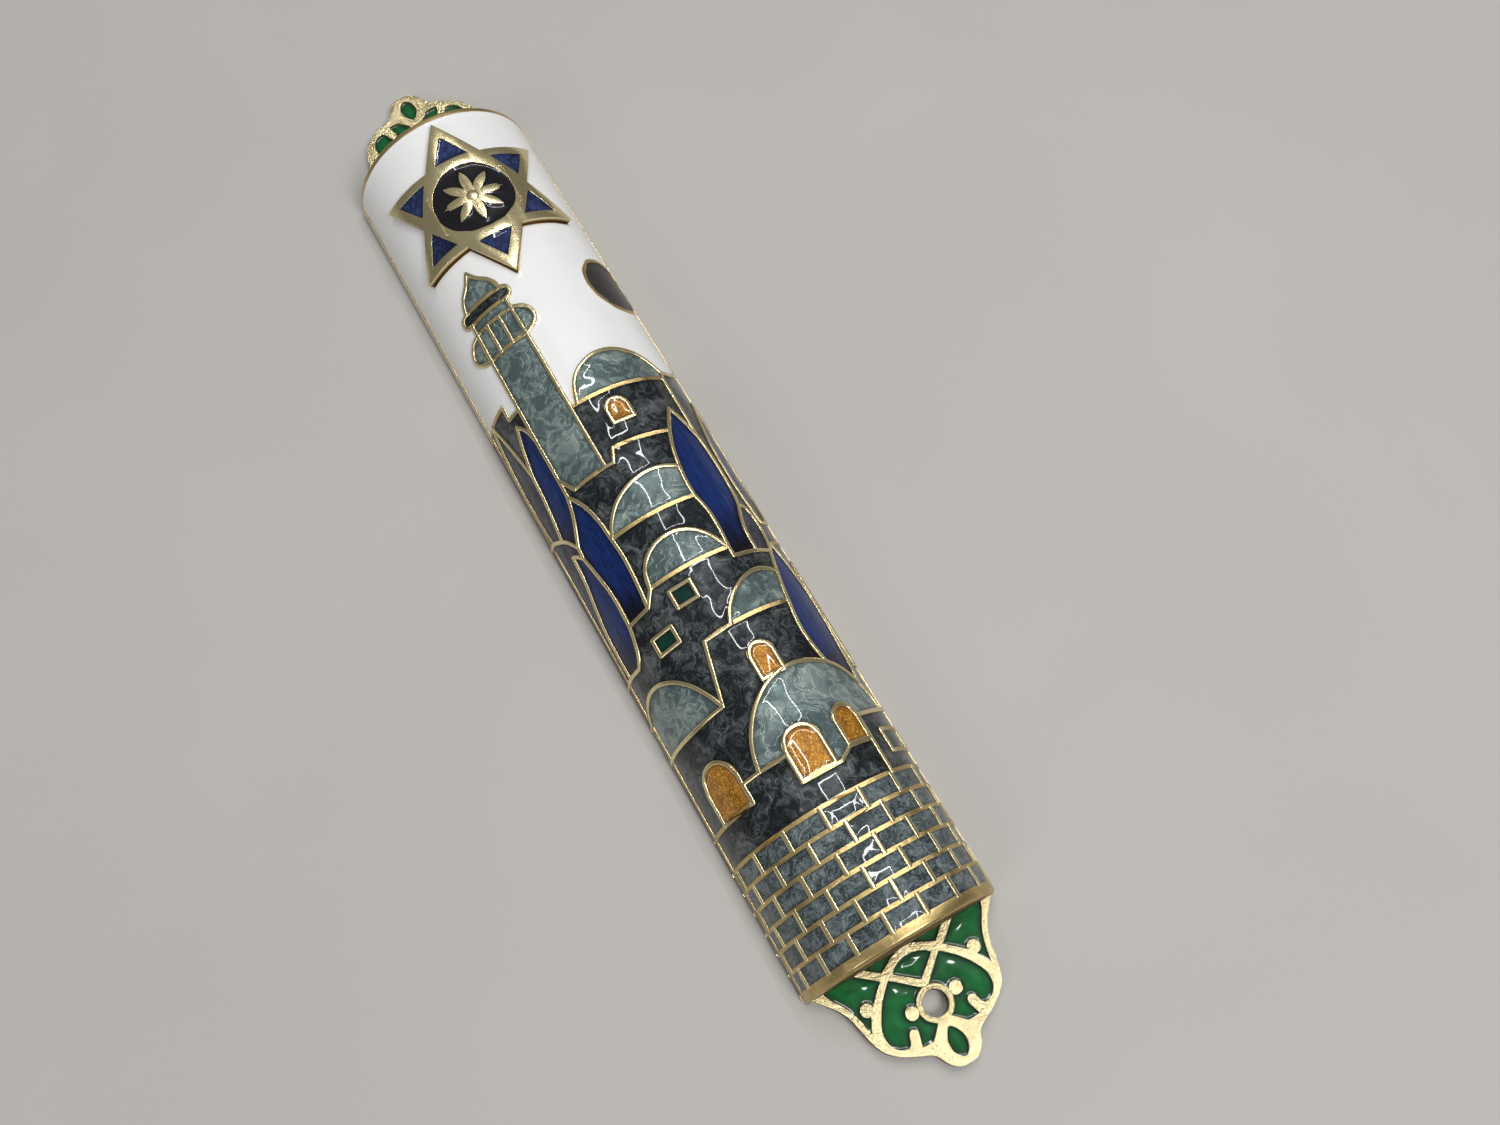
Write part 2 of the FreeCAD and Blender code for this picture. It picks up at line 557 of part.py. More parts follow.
def cells_of_front():
    """The open cells of the shell's front, by enamel: every area less half a wire all round."""
    half = WIRE / 2
    arches = [arch_face(*arch) for arch in ARCHES]
    squares = [box_face(a * ACROSS, b * ACROSS, c * ALONG, d * ALONG) for a, b, c, d in SQUARES]
    trees = [tree_face(points, foot) for points, foot in zip(ISLAND_TREES, ISLAND_TREE_FEET)]
    moon = disc(at(MOON), size("moon_radius"))
    seat = closed_outline(star_points())
    islands = [grown(face, half) for face in arches + squares + trees + [moon]]
    islands.append(grown(seat, size("star_border")))
    cells = {}
    for name, chains in AREAS.items():
        cells[name] = []
        for chain in chains:
            cells[name] += faces_left(grown(area_face(chain), -half), islands)
    cells["cypress_enamel"] += [grown(face, -half) for face in trees]
    cells["door_enamel"] = [grown(face, -half) for face in arches]
    cells["window_enamel"] = [grown(face, -half) for face in squares]
    cells["brick_enamel"] = [grown(face, -half) for face in brick_faces()]
    cells["moon_enamel"] = [grown(moon, -half)]
    return cells


# ---------------------------------------------------------------- document objects
def add_solid(name, shape, placement=None):
    """A sub-part made by Part's own functions."""
    feature = doc.addObject("Part::Feature", name)
    feature.Label = name
    feature.Shape = shape
    if placement is not None:
        feature.Placement = placement
    return feature


def wrapped_group(faces, inner, outer):
    """The rolled solids of several flat faces, as one group."""
    return Part.makeCompound([wrapped_solid(face, inner, outer) for face in faces])


def origin_plane(body, role):
    """One of a body's own origin planes."""
    return [feature for feature in body.Origin.OriginFeatures if feature.Role == role][0]


def add_sketch(body, name, role, wires):
    """A sketch on one of the body's planes, from lists of curves."""
    sketch = body.newObject("Sketcher::SketchObject", name)
    sketch.AttachmentSupport = [(origin_plane(body, role), "")]
    sketch.MapMode = "FlatFace"
    for curve in wires:
        sketch.addGeometry(curve, False)
    doc.recompute()
    return sketch


def straight_sides(points):
    """Line segments round a closed outline."""
    ring = [Vector(x, y, 0) for x, y in points + points[:1]]
    return [Part.LineSegment(a, b) for a, b in zip(ring, ring[1:])]


def shell_blank():
    """The shell before its cells: half a turned cup with both ends closed, and the plate's channel."""
    body = doc.addObject("PartDesign::Body", "shell_blank")
    turn = size("edge_rounding")
    inner_end = HALF_LENGTH - size("end_wall")
    corner = turn * (1 - math.sqrt(0.5))
    outline = []
    for end in (-1, 1):
        rim = Vector(end * HALF_LENGTH, RADIUS - turn, 0)
        side = Vector(end * (HALF_LENGTH - turn), RADIUS, 0)
        middle = Vector(end * (HALF_LENGTH - corner), RADIUS - corner, 0)
        outline.append(Part.Arc(rim, middle, side))
        stops = [rim, Vector(end * HALF_LENGTH, 0, 0), Vector(end * inner_end, 0, 0),
                 Vector(end * inner_end, INNER_RADIUS, 0)]
        outline += [Part.LineSegment(a, b) for a, b in zip(stops, stops[1:])]
    for level, reach in ((RADIUS, HALF_LENGTH - turn), (INNER_RADIUS, inner_end)):
        outline.append(Part.LineSegment(Vector(-reach, level, 0), Vector(reach, level, 0)))
    section = add_sketch(body, "wall_section", "YZ_Plane", outline)
    cup = body.newObject("PartDesign::Revolution", "half_turn")
    cup.Profile = section
    cup.ReferenceAxis = (section, ["H_Axis"])
    cup.Angle = 180
    cup.Midplane = True
    doc.recompute()
    foot = size("foot_gap")
    low = -RADIUS
    wide = 2 * RADIUS
    channel = [(-wide, low), (wide, low), (wide, foot), (CHANNEL_HALF, foot), (CHANNEL_HALF, GROOVE_BASE),
               (GROOVE_HALF, GROOVE_BASE), (GROOVE_HALF, CHANNEL_TOP), (-GROOVE_HALF, CHANNEL_TOP),
               (-GROOVE_HALF, GROOVE_BASE), (-CHANNEL_HALF, GROOVE_BASE), (-CHANNEL_HALF, foot),
               (-wide, foot)]
    profile = add_sketch(body, "channel_section", "XZ_Plane", straight_sides(channel))
    slot = body.newObject("PartDesign::Pocket", "plate_channel")
    slot.Profile = profile
    slot.Type = "ThroughAll"
    slot.Midplane = True
    doc.recompute()
    return body


EAR_SIDE = [(9.7, 1.2), (8.8, 2.4), (8.2, 3.8), (7.9, 5.2), (7.55, 6.6), (7.0, 7.8), (6.0, 8.8), (4.7, 9.6),
            (3.3, 10.2), (2.5, 10.8), (2.1, 11.6), (1.3, 12.5)]
DRAWN_EAR = 12.8
DRAWN_PLATE_HALF = 10.8


def ear_point(point, side=1):
    """A drawn point of the lower ear: across, and out from the shell's end."""
    x = side * point[0] * TONGUE_HALF / DRAWN_PLATE_HALF
    y = -HALF_LENGTH - point[1] * size("ear_length") / DRAWN_EAR
    return Vector(x, y, 0)


def ear_curve(points, side=1):
    """A smooth curve, or a straight line, on the lower ear."""
    placed = [ear_point(p, side) for p in points]
    if len(placed) == 2:
        return Part.LineSegment(placed[0], placed[1])
    curve = Part.BSplineCurve()
    curve.interpolate(placed)
    return curve


def turned_over(curve):
    """The same curve at the upper end of the plate."""
    copy = curve.copy()
    copy.rotate(FreeCAD.Placement(Vector(), FreeCAD.Rotation(Vector(0, 0, 1), 180)))
    return copy


def ear_face(stretches, side=1):
    """A face on the lower ear inside a chain of stretches."""
    return flat_face([ear_curve(points, side).toShape() for points in stretches])


def ear_cells():
    """The open cells of the lower ear, as flat faces."""
    hole = Vector(0, -HALF_LENGTH - size("hole_distance"), 0)
    ring = size("hole_radius") + size("hole_ring")
    ball = size("ear_wire_width")
    tuck = -size("ear_tuck")
    ears = []
    for side in (-1, 1):
        root = [(9.5, tuck), (9.3, 0.5), (8.35, 2.0), (7.65, 3.6), (7.3, 5.0), (7.15, 5.8)]
        diagonal = [(7.15, 5.8), (6.5, 4.5), (5.3, 3.1), (3.75, 1.75)]
        corner = ear_face([root, diagonal, [(3.75, 1.75), (6.9, tuck)], [(6.9, tuck), (9.5, tuck)]], side)
        ears.append(corner.cut([disc(ear_point((6.42, 3.5), side), ball)]))
        arc = [(3.25, 1.15), (2.5, 0.75), (1.6, 0.3), (0.6, -0.1)]
        gable = [[(0.6, tuck), (5.7, tuck)], [(5.7, tuck), (3.25, 1.15)], arc, [(0.6, -0.1), (0.6, tuck)]]
        ears.append(ear_face(gable, side))
        lobe = [(3.0, 2.05), (4.4, 3.3), (5.6, 4.9), (6.25, 6.5), (5.9, 8.0), (5.0, 8.6)]
        heart = ear_face([lobe, [(5.0, 8.6), (3.6, 9.25), (2.0, 9.3)], [(2.0, 9.3), (0.75, 8.05)],
                          [(0.75, 8.05), (0.3, 4.4)], [(0.3, 4.4), (3.0, 2.05)]], side)
        hook = ear_face([[(3.0, 9.9), (3.2, 8.6), (3.0, 7.7), (3.45, 7.3)],
                         [(3.45, 7.3), (3.9, 7.6), (4.1, 8.2), (4.9, 8.7)], [(4.9, 8.7), (3.0, 9.9)]], side)
        knob = disc(ear_point((2.6, 6.0), side), ball)
        ears.append(heart.cut([disc(hole, ring), knob, hook]))
    kite = ear_face([[(-2.35, 1.8), (-1.3, 1.05), (0, 0.8), (1.3, 1.05), (2.35, 1.8)],
                     [(2.35, 1.8), (0, 3.65)], [(0, 3.65), (-2.35, 1.8)]])
    ears.append(kite)
    leaf = [(0, 8.8), (0.85, 9.9), (0.95, 10.8), (0.6, 11.7), (0, 12.1)]
    ears.append(flat_face([ear_curve(leaf, 1).toShape(), ear_curve(leaf, -1).toShape()]))
    return [face for shape in ears for face in shape.Faces]


def back_plate():
    """The plate: one flat outline with both ears, thin edges for the shell's grooves, two screw holes."""
    body = doc.addObject("PartDesign::Body", "back_plate")
    body.Label = "back_plate"
    root = (DRAWN_PLATE_HALF, 0.0)
    tip = (0.0, DRAWN_EAR)
    outline = [ear_curve([root] + EAR_SIDE + [tip], side) for side in (-1, 1)]
    outline += [turned_over(curve) for curve in outline]
    for side in (-1, 1):
        x = side * TONGUE_HALF
        outline.append(Part.LineSegment(Vector(x, -HALF_LENGTH, 0), Vector(x, HALF_LENGTH, 0)))
    plate = body.newObject("PartDesign::Pad", "plate")
    plate.Profile = add_sketch(body, "plate_outline", "XY_Plane", outline)
    plate.setExpression("Length", "sizes.plate_thickness")
    doc.recompute()
    steps = []
    for side in (-1, 1):
        near, far = side * PLATE_HALF, side * 2 * RADIUS
        steps += straight_sides([(near, -1.0), (far, -1.0), (far, TONGUE_BASE), (near, TONGUE_BASE)])
    rabbet = body.newObject("PartDesign::Pocket", "edge_rabbet")
    rabbet.Profile = add_sketch(body, "rabbet_section", "XZ_Plane", steps)
    rabbet.Type = "ThroughAll"
    rabbet.Midplane = True
    doc.recompute()
    reach = HALF_LENGTH + size("hole_distance")
    centres = [Vector(0, -reach, 0), Vector(0, reach, 0)]
    circles = [Part.Circle(centre, Vector(0, 0, 1), size("hole_radius")) for centre in centres]
    holes = body.newObject("PartDesign::Pocket", "screw_holes")
    holes.Profile = add_sketch(body, "hole_centres", "XY_Plane", circles)
    holes.Type = "ThroughAll"
    holes.Midplane = True
    doc.recompute()
    return body


def ear_enamel_solids(cells, low, high):
    """Upright solids on the ear's cells between two heights."""
    solids = []
    for face in cells:
        lifted = face.translated(Vector(0, 0, low))
        solids.append(lifted.extrude(Vector(0, 0, high - low)))
    return Part.makeCompound(solids)


def scroll_solid():
    """The parchment: one sheet rolled up, its outer turn at the scroll's radius."""
    sheet_thick = size("parchment")
    pitch = sheet_thick + size("turn_gap")
    rest = THICK + size("scroll_gap")
    outer = (INNER_RADIUS - size("scroll_headroom") - rest) / 2
    per_turn = 12
    steps = int(size("scroll_turns") * per_turn)
    faces = []
    for inset in (0.0, sheet_thick):
        points = []
        for step in range(steps + 1):
            radius = outer - inset - pitch * step / per_turn
            angle = 2 * math.pi * step / per_turn
            points.append(Vector(radius * math.sin(angle), 0, radius * math.cos(angle)))
        faces.append(points)
    outside, inside = faces
    edges = [flat_edge(outside), flat_edge([outside[-1], inside[-1]]), flat_edge(inside[::-1]),
             flat_edge([inside[0], outside[0]])]
    length = LENGTH - 2 * (size("end_wall") + size("scroll_play"))
    roll = flat_face(edges).extrude(Vector(0, length, 0))
    return roll.translated(Vector(0, -length / 2, rest + outer))


# ---------------------------------------------------------------- assembly
def build():
    """Make every sub-part and return them in order."""
    parts = []
    cells = cells_of_front()
    all_cells = [face for faces in cells.values() for face in faces]
    above = RADIUS + size("star_thickness")
    pockets = add_solid("cell_pockets", wrapped_group(all_cells, FLOOR_RADIUS, above), WRAPPED)
    shell = doc.addObject("Part::Cut", "shell")
    shell.Label = "shell"
    shell.Base = shell_blank()
    shell.Tool = pockets
    parts.append(shell)
    for name, faces in cells.items():
        parts.append(add_solid(name, wrapped_group(faces, FLOOR_RADIUS, FACE_RADIUS), WRAPPED))

    star_top = RADIUS + size("star_thickness")
    star_floor = star_top - size("star_cell_depth")
    star_face = star_top - size("enamel_drop")
    medallion = disc(STAR_CENTRE, size("medallion_radius"))
    points = star_cells()
    star_blank = wrapped_solid(closed_outline(star_points()), RADIUS, star_top)
    star_pockets = wrapped_group(points + [medallion], star_floor, star_top + 1)
    parts.append(add_solid("star", star_blank.cut(star_pockets), WRAPPED))
    parts.append(add_solid("star_point_enamel", wrapped_group(points, star_floor, star_face), WRAPPED))
    rosette = wrapped_solid(rosette_face(), star_floor, star_top)
    black = wrapped_solid(medallion, star_floor, star_face).cut(rosette)
    parts.append(add_solid("medallion_enamel", black, WRAPPED))
    parts.append(add_solid("rosette", rosette, WRAPPED))

    lower = ear_cells()
    floor = THICK - size("ear_cell_depth")
    face = THICK - size("enamel_drop")
    turn = FreeCAD.Placement(Vector(), FreeCAD.Rotation(Vector(0, 0, 1), 180))
    tools = ear_enamel_solids(lower, floor, THICK + 1)
    upper_tools = tools.copy()
    upper_tools.Placement = turn
    ear_pockets = add_solid("ear_pockets", Part.makeCompound([tools, upper_tools]))
    plate = doc.addObject("Part::Cut", "back_plate_cut")
    plate.Label = "back_plate"
    plate.Base = back_plate()
    plate.Base.Label = "plate_blank"
    plate.Tool = ear_pockets
    parts.append(plate)
    for name, placement in (("lower_ear_enamel", None), ("upper_ear_enamel", turn)):
        parts.append(add_solid(name, ear_enamel_solids(lower, floor, face), placement))
    parts.append(add_solid("scroll", scroll_solid()))
    doc.recompute()
    return parts


def check_and_write(parts):
    """Stop on any failed object or bad shape, then write one STEP file for each sub-part."""
    for item in doc.Objects:
        if "Invalid" in item.State or "Error" in item.State:
            raise RuntimeError("%s failed: %s" % (item.Name, item.State))
    for part in parts:
        if part.Shape.isNull() or not part.Shape.isValid():
            raise RuntimeError("%s has no valid shape" % part.Label)
    os.makedirs("parts", exist_ok=True)
    for part in parts:
        part.Shape.exportStep("parts/%s.step" % part.Label)
        print(part.Label, len(part.Shape.Solids), round(part.Shape.Volume, 2), part.Shape.BoundBox)


check_and_write(build())
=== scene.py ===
"""Looks of the mezuzah case: gold wires and glossy enamel on a half-round shell, a raised star with a
rosette, a back plate with two ornamental ears, and the parchment scroll inside.

The picture on the front is drawn flat in millimetres: across from the shell's middle line and up from
its bottom end. It is then rolled round the shell. Every finished piece is in metres in the CAD frame.
"""
import json
import math

import bpy
import numpy as np
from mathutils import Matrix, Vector, noise
from mathutils.bvhtree import BVHTree

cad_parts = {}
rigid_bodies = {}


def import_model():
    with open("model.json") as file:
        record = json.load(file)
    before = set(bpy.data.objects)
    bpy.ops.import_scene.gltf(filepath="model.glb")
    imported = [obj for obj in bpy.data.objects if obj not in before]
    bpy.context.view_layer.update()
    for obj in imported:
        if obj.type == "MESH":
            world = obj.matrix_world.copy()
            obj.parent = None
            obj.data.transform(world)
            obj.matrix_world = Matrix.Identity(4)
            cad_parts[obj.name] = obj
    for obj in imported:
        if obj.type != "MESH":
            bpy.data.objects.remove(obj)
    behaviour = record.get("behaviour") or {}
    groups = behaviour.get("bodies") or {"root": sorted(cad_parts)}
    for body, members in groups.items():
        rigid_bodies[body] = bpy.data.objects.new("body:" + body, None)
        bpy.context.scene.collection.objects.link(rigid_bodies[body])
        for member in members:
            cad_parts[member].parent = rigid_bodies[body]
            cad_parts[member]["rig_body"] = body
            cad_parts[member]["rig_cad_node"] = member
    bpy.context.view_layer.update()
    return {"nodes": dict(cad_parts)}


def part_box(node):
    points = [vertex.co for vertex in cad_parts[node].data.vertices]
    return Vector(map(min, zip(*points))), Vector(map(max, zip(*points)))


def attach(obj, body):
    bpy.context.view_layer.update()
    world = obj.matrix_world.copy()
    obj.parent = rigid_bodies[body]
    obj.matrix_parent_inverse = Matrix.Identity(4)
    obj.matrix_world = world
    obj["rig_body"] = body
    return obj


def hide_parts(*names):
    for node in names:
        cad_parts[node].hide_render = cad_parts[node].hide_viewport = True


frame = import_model()
MM = 0.001

# ---------------------------------------------------------------- sizes taken from the frame
SHELL_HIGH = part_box("shell")[1]
RADIUS = SHELL_HIGH.z / MM
HALF_LENGTH = SHELL_HIGH.y / MM
FACE_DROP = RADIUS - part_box("sky_enamel")[1].z / MM
PLATE_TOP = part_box("back_plate")[1].z / MM
EAR_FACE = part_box("lower_ear_enamel")[1].z / MM
STAR_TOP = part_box("star")[1].z / MM
STAR_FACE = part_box("star_point_enamel")[1].z / MM
CELL_EDGE = 16.0             # the picture's cells end about here, measured round the shell
PANEL_HALF = 17.45           # the enamel and its wires lap over the shell's plain edges to here
LAP_RISE = 0.06              # height of the lapped enamel above the metal
BRICK_TOP = 15.07            # top of the brick wall above the shell's foot
FOOT_LINE = 0.78             # middle of the gold band along the shell's foot
FRONT_CLIMB = 0.07           # how far the front's enamel climbs its wires
HOLE_REACH = HALF_LENGTH + 6.28    # middle of the case to the middle of a screw hole
EYELET_RINGS = ((1.53, 0.26), (1.86, 0.2))    # radius and thickness of each ring round a hole
BOSS_RADIUS = 0.75           # the round boss in the middle of the rosette

# ---------------------------------------------------------------- the picture's gold lines
LINES = {
    "right_roofs": [(14.4, 69.2), (12.4, 68.4), (10.4, 68.4)],
    "top_dome": [(10.4, 68.4), (8.4, 70.7), (6.2, 71.95), (3.8, 72.4), (1.3, 71.8), (-0.6, 70.3),
                 (-1.75, 67.45)],
    "top_dome_base": [(-2.6, 67.45), (9.95, 67.5)],
    "top_dome_end": [(9.95, 67.5), (10.4, 68.4)],
    "top_house_right": [(9.95, 67.5), (9.8, 58.8)],
    "tower_right": [(-2.6, 59.05), (-2.65, 78.5)],
    "tower_left": [(-8.15, 78.5), (-8.2, 71.5), (-8.25, 67.0), (-8.25, 61.3)],
    "tower_corner": [(-8.25, 61.3), (-7.0, 59.1)],
    "tower_base": [(-7.0, 59.1), (-2.6, 59.05)],
    "balcony_floor": [(-8.15, 78.5), (-2.65, 78.5)],
    "balcony_top": [(-8.05, 82.4), (-2.75, 82.4)],
    "balcony_right": [(-2.65, 78.5), (-1.4, 79.1), (-0.75, 80.4), (-1.4, 81.8), (-2.75, 82.4)],
    "balcony_left": [(-8.05, 82.4), (-9.5, 81.8), (-10.35, 80.4), (-9.6, 79.1), (-8.15, 78.5)],
    "left_post": [(-8.15, 78.5), (-8.05, 82.4)],
    "second_post": [(-6.3, 78.5), (-6.3, 82.4)],
    "third_post": [(-4.5, 78.5), (-4.5, 82.4)],
    "right_post": [(-2.65, 78.5), (-2.75, 82.4)],
    "neck_right": [(-2.75, 82.4), (-2.75, 83.85)],
    "neck_left": [(-8.05, 83.85), (-8.05, 82.4)],
    "collar_foot": [(-8.05, 83.85), (-2.75, 83.85)],
    "collar_top": [(-8.05, 85.45), (-2.75, 85.45)],
    "collar_right": [(-2.75, 83.85), (-2.0, 84.1), (-1.85, 84.65), (-2.0, 85.2), (-2.75, 85.45)],
    "collar_left": [(-8.05, 85.45), (-8.9, 85.2), (-9.05, 84.65), (-8.9, 84.1), (-8.05, 83.85)],
    "spire_right": [(-2.75, 85.45), (-3.3, 87.1), (-4.5, 88.3), (-5.35, 89.6)],
    "spire_left": [(-5.35, 89.6), (-6.2, 88.3), (-7.45, 87.1), (-8.05, 85.45)],
    "left_roof_step": [(-10.2, 71.55), (-8.2, 71.5)],
    "left_roof_drop": [(-10.2, 73.4), (-10.2, 71.55)],
    "left_roof": [(-PANEL_HALF, 73.4), (-10.2, 73.4)],
    "far_tree_right": [(-14.0, 73.4), (-12.9, 70.2), (-12.0, 66.8), (-11.5, 64.3)],
    "far_tree_left": [(-14.0, 73.4), (-15.2, 69.0), (-15.8, 64.0), (-15.5, 60.0), (-14.9, 57.1)],
    "far_tree_foot": [(-PANEL_HALF, 57.6), (-14.9, 57.1), (-12.8, 56.1)],
    "upper_tree_left": [(-9.7, 70.1), (-10.6, 67.6), (-11.5, 64.3)],
    "upper_tree_low": [(-11.5, 64.3), (-11.8, 61.0), (-12.3, 58.0), (-12.8, 56.1)],
    "upper_tree_foot": [(-12.8, 56.1), (-11.7, 55.2), (-10.65, 53.8)],
    "upper_tree_right": [(-8.25, 67.0), (-8.75, 68.8), (-9.7, 70.1)],
    "tower_left_stem": [(-8.25, 61.3), (-8.3, 59.0)],
    "middle_tree_left": [(-8.3, 59.0), (-8.9, 57.0), (-9.8, 55.2), (-10.65, 53.8)],
    "middle_tree_notch": [(-10.65, 53.8), (-10.8, 52.4)],
    "middle_tree_low": [(-10.8, 52.4), (-10.2, 49.8), (-9.7, 46.8), (-9.75, 42.6)],
    "middle_tree_foot": [(-9.75, 42.6), (-6.45, 42.75)],
    "middle_tree_right": [(-8.3, 59.0), (-7.2, 57.2), (-6.5, 55.0), (-6.1, 51.6)],
    "middle_tree_edge": [(-6.1, 51.6), (-5.95, 49.0), (-6.1, 46.0), (-6.45, 42.75)],
    "low_tree_top": [(-12.4, 53.6), (-11.6, 53.2), (-10.8, 52.4)],
    "low_tree_left": [(-12.4, 53.6), (-12.7, 50.5), (-13.6, 47.3), (-14.4, 44.5), (-14.6, 41.5),
                      (-14.6, 38.6)],
    "low_tree_foot": [(-PANEL_HALF, 38.6), (-14.6, 38.6), (-11.8, 38.4)],
    "low_tree_right": [(-11.8, 38.4), (-11.0, 39.2), (-10.2, 41.0), (-9.75, 42.6)],
    "ledge_side": [(-2.6, 59.05), (-1.6, 58.95)],
    "ledge_rise": [(-1.6, 58.95), (-0.85, 60.6)],
    "ledge": [(-0.85, 60.6), (6.15, 60.15)],
    "middle_dome": [(-6.1, 51.6), (-4.7, 53.7), (-2.4, 55.4), (0.6, 56.2), (2.8, 56.1), (4.7, 55.5)],
    "middle_dome_base": [(-6.1, 51.6), (4.4, 51.5)],
    "small_dome": [(-5.15, 44.35), (-4.5, 46.5), (-2.9, 48.0), (-0.6, 48.55), (1.5, 48.1), (3.2, 46.8),
                   (4.75, 44.4)],
    "small_dome_base": [(-5.15, 44.35), (4.75, 44.4)],
    "small_dome_foot": [(-5.15, 44.35), (-6.45, 42.75)],
    "right_tree_top": [(7.8, 63.0), (7.0, 61.7), (6.15, 60.15)],
    "right_tree_left": [(6.15, 60.15), (5.3, 58.0), (4.7, 55.5)],
    "right_tree_waist": [(4.7, 55.5), (4.45, 53.5), (4.4, 51.5)],
    "right_tree_low": [(4.4, 51.5), (4.9, 49.2), (4.95, 47.0), (4.75, 44.4)],
    "right_tree_stem": [(4.75, 44.4), (4.7, 43.2)],
    "right_tree_foot": [(4.7, 43.2), (8.0, 43.15)],
    "right_tree_right": [(7.8, 63.0), (8.5, 61.9), (9.2, 60.4), (9.8, 58.8)],
    "right_tree_edge": [(9.8, 58.8), (10.1, 56.5), (10.1, 53.0), (9.9, 50.8), (9.5, 49.2)],
    "shrub_left": [(9.5, 49.2), (8.4, 46.8), (8.05, 45.0), (8.0, 43.15)],
    "shrub_right": [(9.5, 49.2), (10.5, 48.7), (11.1, 46.8), (10.9, 44.8), (10.2, 42.9)],
    "shrub_foot": [(8.0, 43.15), (10.2, 42.9)],
    "low_right_tip": [(11.25, 43.9), (10.2, 42.9)],
    "low_right_shoulder": [(10.2, 42.9), (9.5, 41.3), (9.1, 40.1)],
    "low_right_roof": [(9.1, 40.1), (8.6, 38.6), (8.1, 36.5)],
    "low_right_wall": [(8.1, 36.5), (7.6, 34.0), (7.5, 32.0), (8.1, 28.6)],
    "low_right_edge": [(11.25, 43.9), (12.3, 41.3), (13.2, 38.2), (13.45, 35.0), (13.0, 31.5), (12.4, 28.3),
                       (11.75, 25.5)],
    "side_wall": [(11.25, 43.9), (PANEL_HALF, 44.8)],
    "side_roof": [(14.4, 69.2), (PANEL_HALF, 71.2)],
    "right_dome": [(0.35, 36.35), (1.3, 38.1), (3.1, 39.8), (5.0, 40.7), (7.0, 40.9), (9.1, 40.1)],
    "right_dome_base": [(0.35, 36.35), (8.1, 36.5)],
    "house_top": [(-2.95, 36.1), (0.35, 36.35)],
    "house_left": [(-2.95, 36.1), (-4.7, 29.15)],
    "left_dome": [(-4.7, 29.15), (-5.6, 31.3), (-7.2, 33.6), (-9.2, 35.0), (-11.4, 35.55), (-13.7, 35.1),
                  (-15.9, 33.6)],
    "left_dome_end": [(-15.9, 33.6), (-PANEL_HALF, 33.2)],
    "left_dome_base": [(-4.7, 29.15), (-10.0, 28.9), (-15.9, 28.8), (-PANEL_HALF, 28.75)],
    "great_dome": [(-4.9, 21.35), (-4.2, 23.9), (-2.9, 26.1), (-1.1, 27.9), (1.6, 29.3), (4.2, 29.6),
                   (8.1, 28.6)],
    "great_dome_side": [(8.1, 28.6), (10.1, 27.2), (11.75, 25.5)],
    "great_dome_end": [(11.75, 25.5), (13.0, 23.5), (13.5, 22.1)],
    "great_dome_base": [(7.9, 21.9), (13.5, 22.1), (PANEL_HALF, 22.6)],
    "door_post": [(7.9, 21.9), (7.9, 19.1)],
    "yard_corner": [(7.9, 19.1), (7.9, BRICK_TOP)],
    "door_step": [(7.9, 19.1), (4.8, 19.2)],
    "ramp": [(4.8, 19.2), (3.1, 18.15)],
    "sill": [(3.1, 18.15), (-1.55, 18.15)],
    "sill_rise": [(-1.55, 18.15), (-1.55, 21.35)],
    "great_dome_foot": [(-1.55, 21.35), (-4.9, 21.35)],
    "yard_top": [(-4.9, 21.35), (-7.1, 21.3)],
    "yard_drop": [(-7.1, 21.3), (-7.1, 19.15)],
    "yard_foot": [(-PANEL_HALF, 19.1), (-7.1, 19.15)],
}
ISLAND_TREES = [
    [[(14.0, 64.5), (15.2, 61.0), (15.7, 56.5), (15.4, 51.5), (14.5, 47.2)], [(14.5, 47.2), (12.1, 46.9)],
     [(12.1, 46.9), (11.5, 50.5), (11.4, 55.0), (12.1, 60.0), (14.0, 64.5)]],
    [[(15.0, 41.8), (15.7, 38.0), (15.8, 33.0), (15.5, 28.0)], [(15.5, 28.0), (14.5, 28.0)],
     [(14.5, 28.0), (14.2, 33.0), (14.4, 38.0), (15.0, 41.8)]],
]
ARCHES = [                   # left, right, sill, spring line and crown
    (0.7, 3.25, 63.2, 64.9, 66.15),
    (0.3, 2.95, 29.45, 32.0, 33.35),
    (-12.2, -7.15, 19.2, 22.6, 25.1),
    (-1.45, 2.5, 18.3, 21.8, 23.6),
    (4.8, 7.7, 19.3, 22.2, 23.65),
]
SQUARES = [                  # left, right, low and high
    (-3.55, -1.0, 40.75, 42.85),
    (-8.0, -5.2, 37.6, 39.6),
    (10.1, 14.4, 17.15, 19.75),
]
# place of one joint and length of a brick, for each course from the top
COURSES = [(-1.5, 4.52), (0.1, 4.45), (-2.4, 4.33), (-0.8, 4.32), (1.0, 4.12), (-1.45, 4.05)]
COURSE_HEIGHT = 2.345
SHORTEST_BRICK = 1.2
MOON = (11.4, 82.1)
MOON_RADIUS = 4.0
STAR_MIDDLE = (0.0, 97.7)
HEXAGON = 5.5                # middle of the star to a corner of its inner edge


# ---------------------------------------------------------------- places
def rolled(points):
    """Flat points (across, up, above the shell), in millimetres, rolled round the shell, in metres."""
    angle = points[:, 0] / RADIUS
    reach = RADIUS + points[:, 2]
    return np.stack([reach * np.sin(angle), points[:, 1] - HALF_LENGTH, reach * np.cos(angle)], 1) * MM


def unrolled(points):
    """The flat place of points on the shell."""
    x, y, z = (points / MM).T
    return np.stack([np.arctan2(x, z) * RADIUS, y + HALF_LENGTH, np.hypot(x, z) - RADIUS], 1)


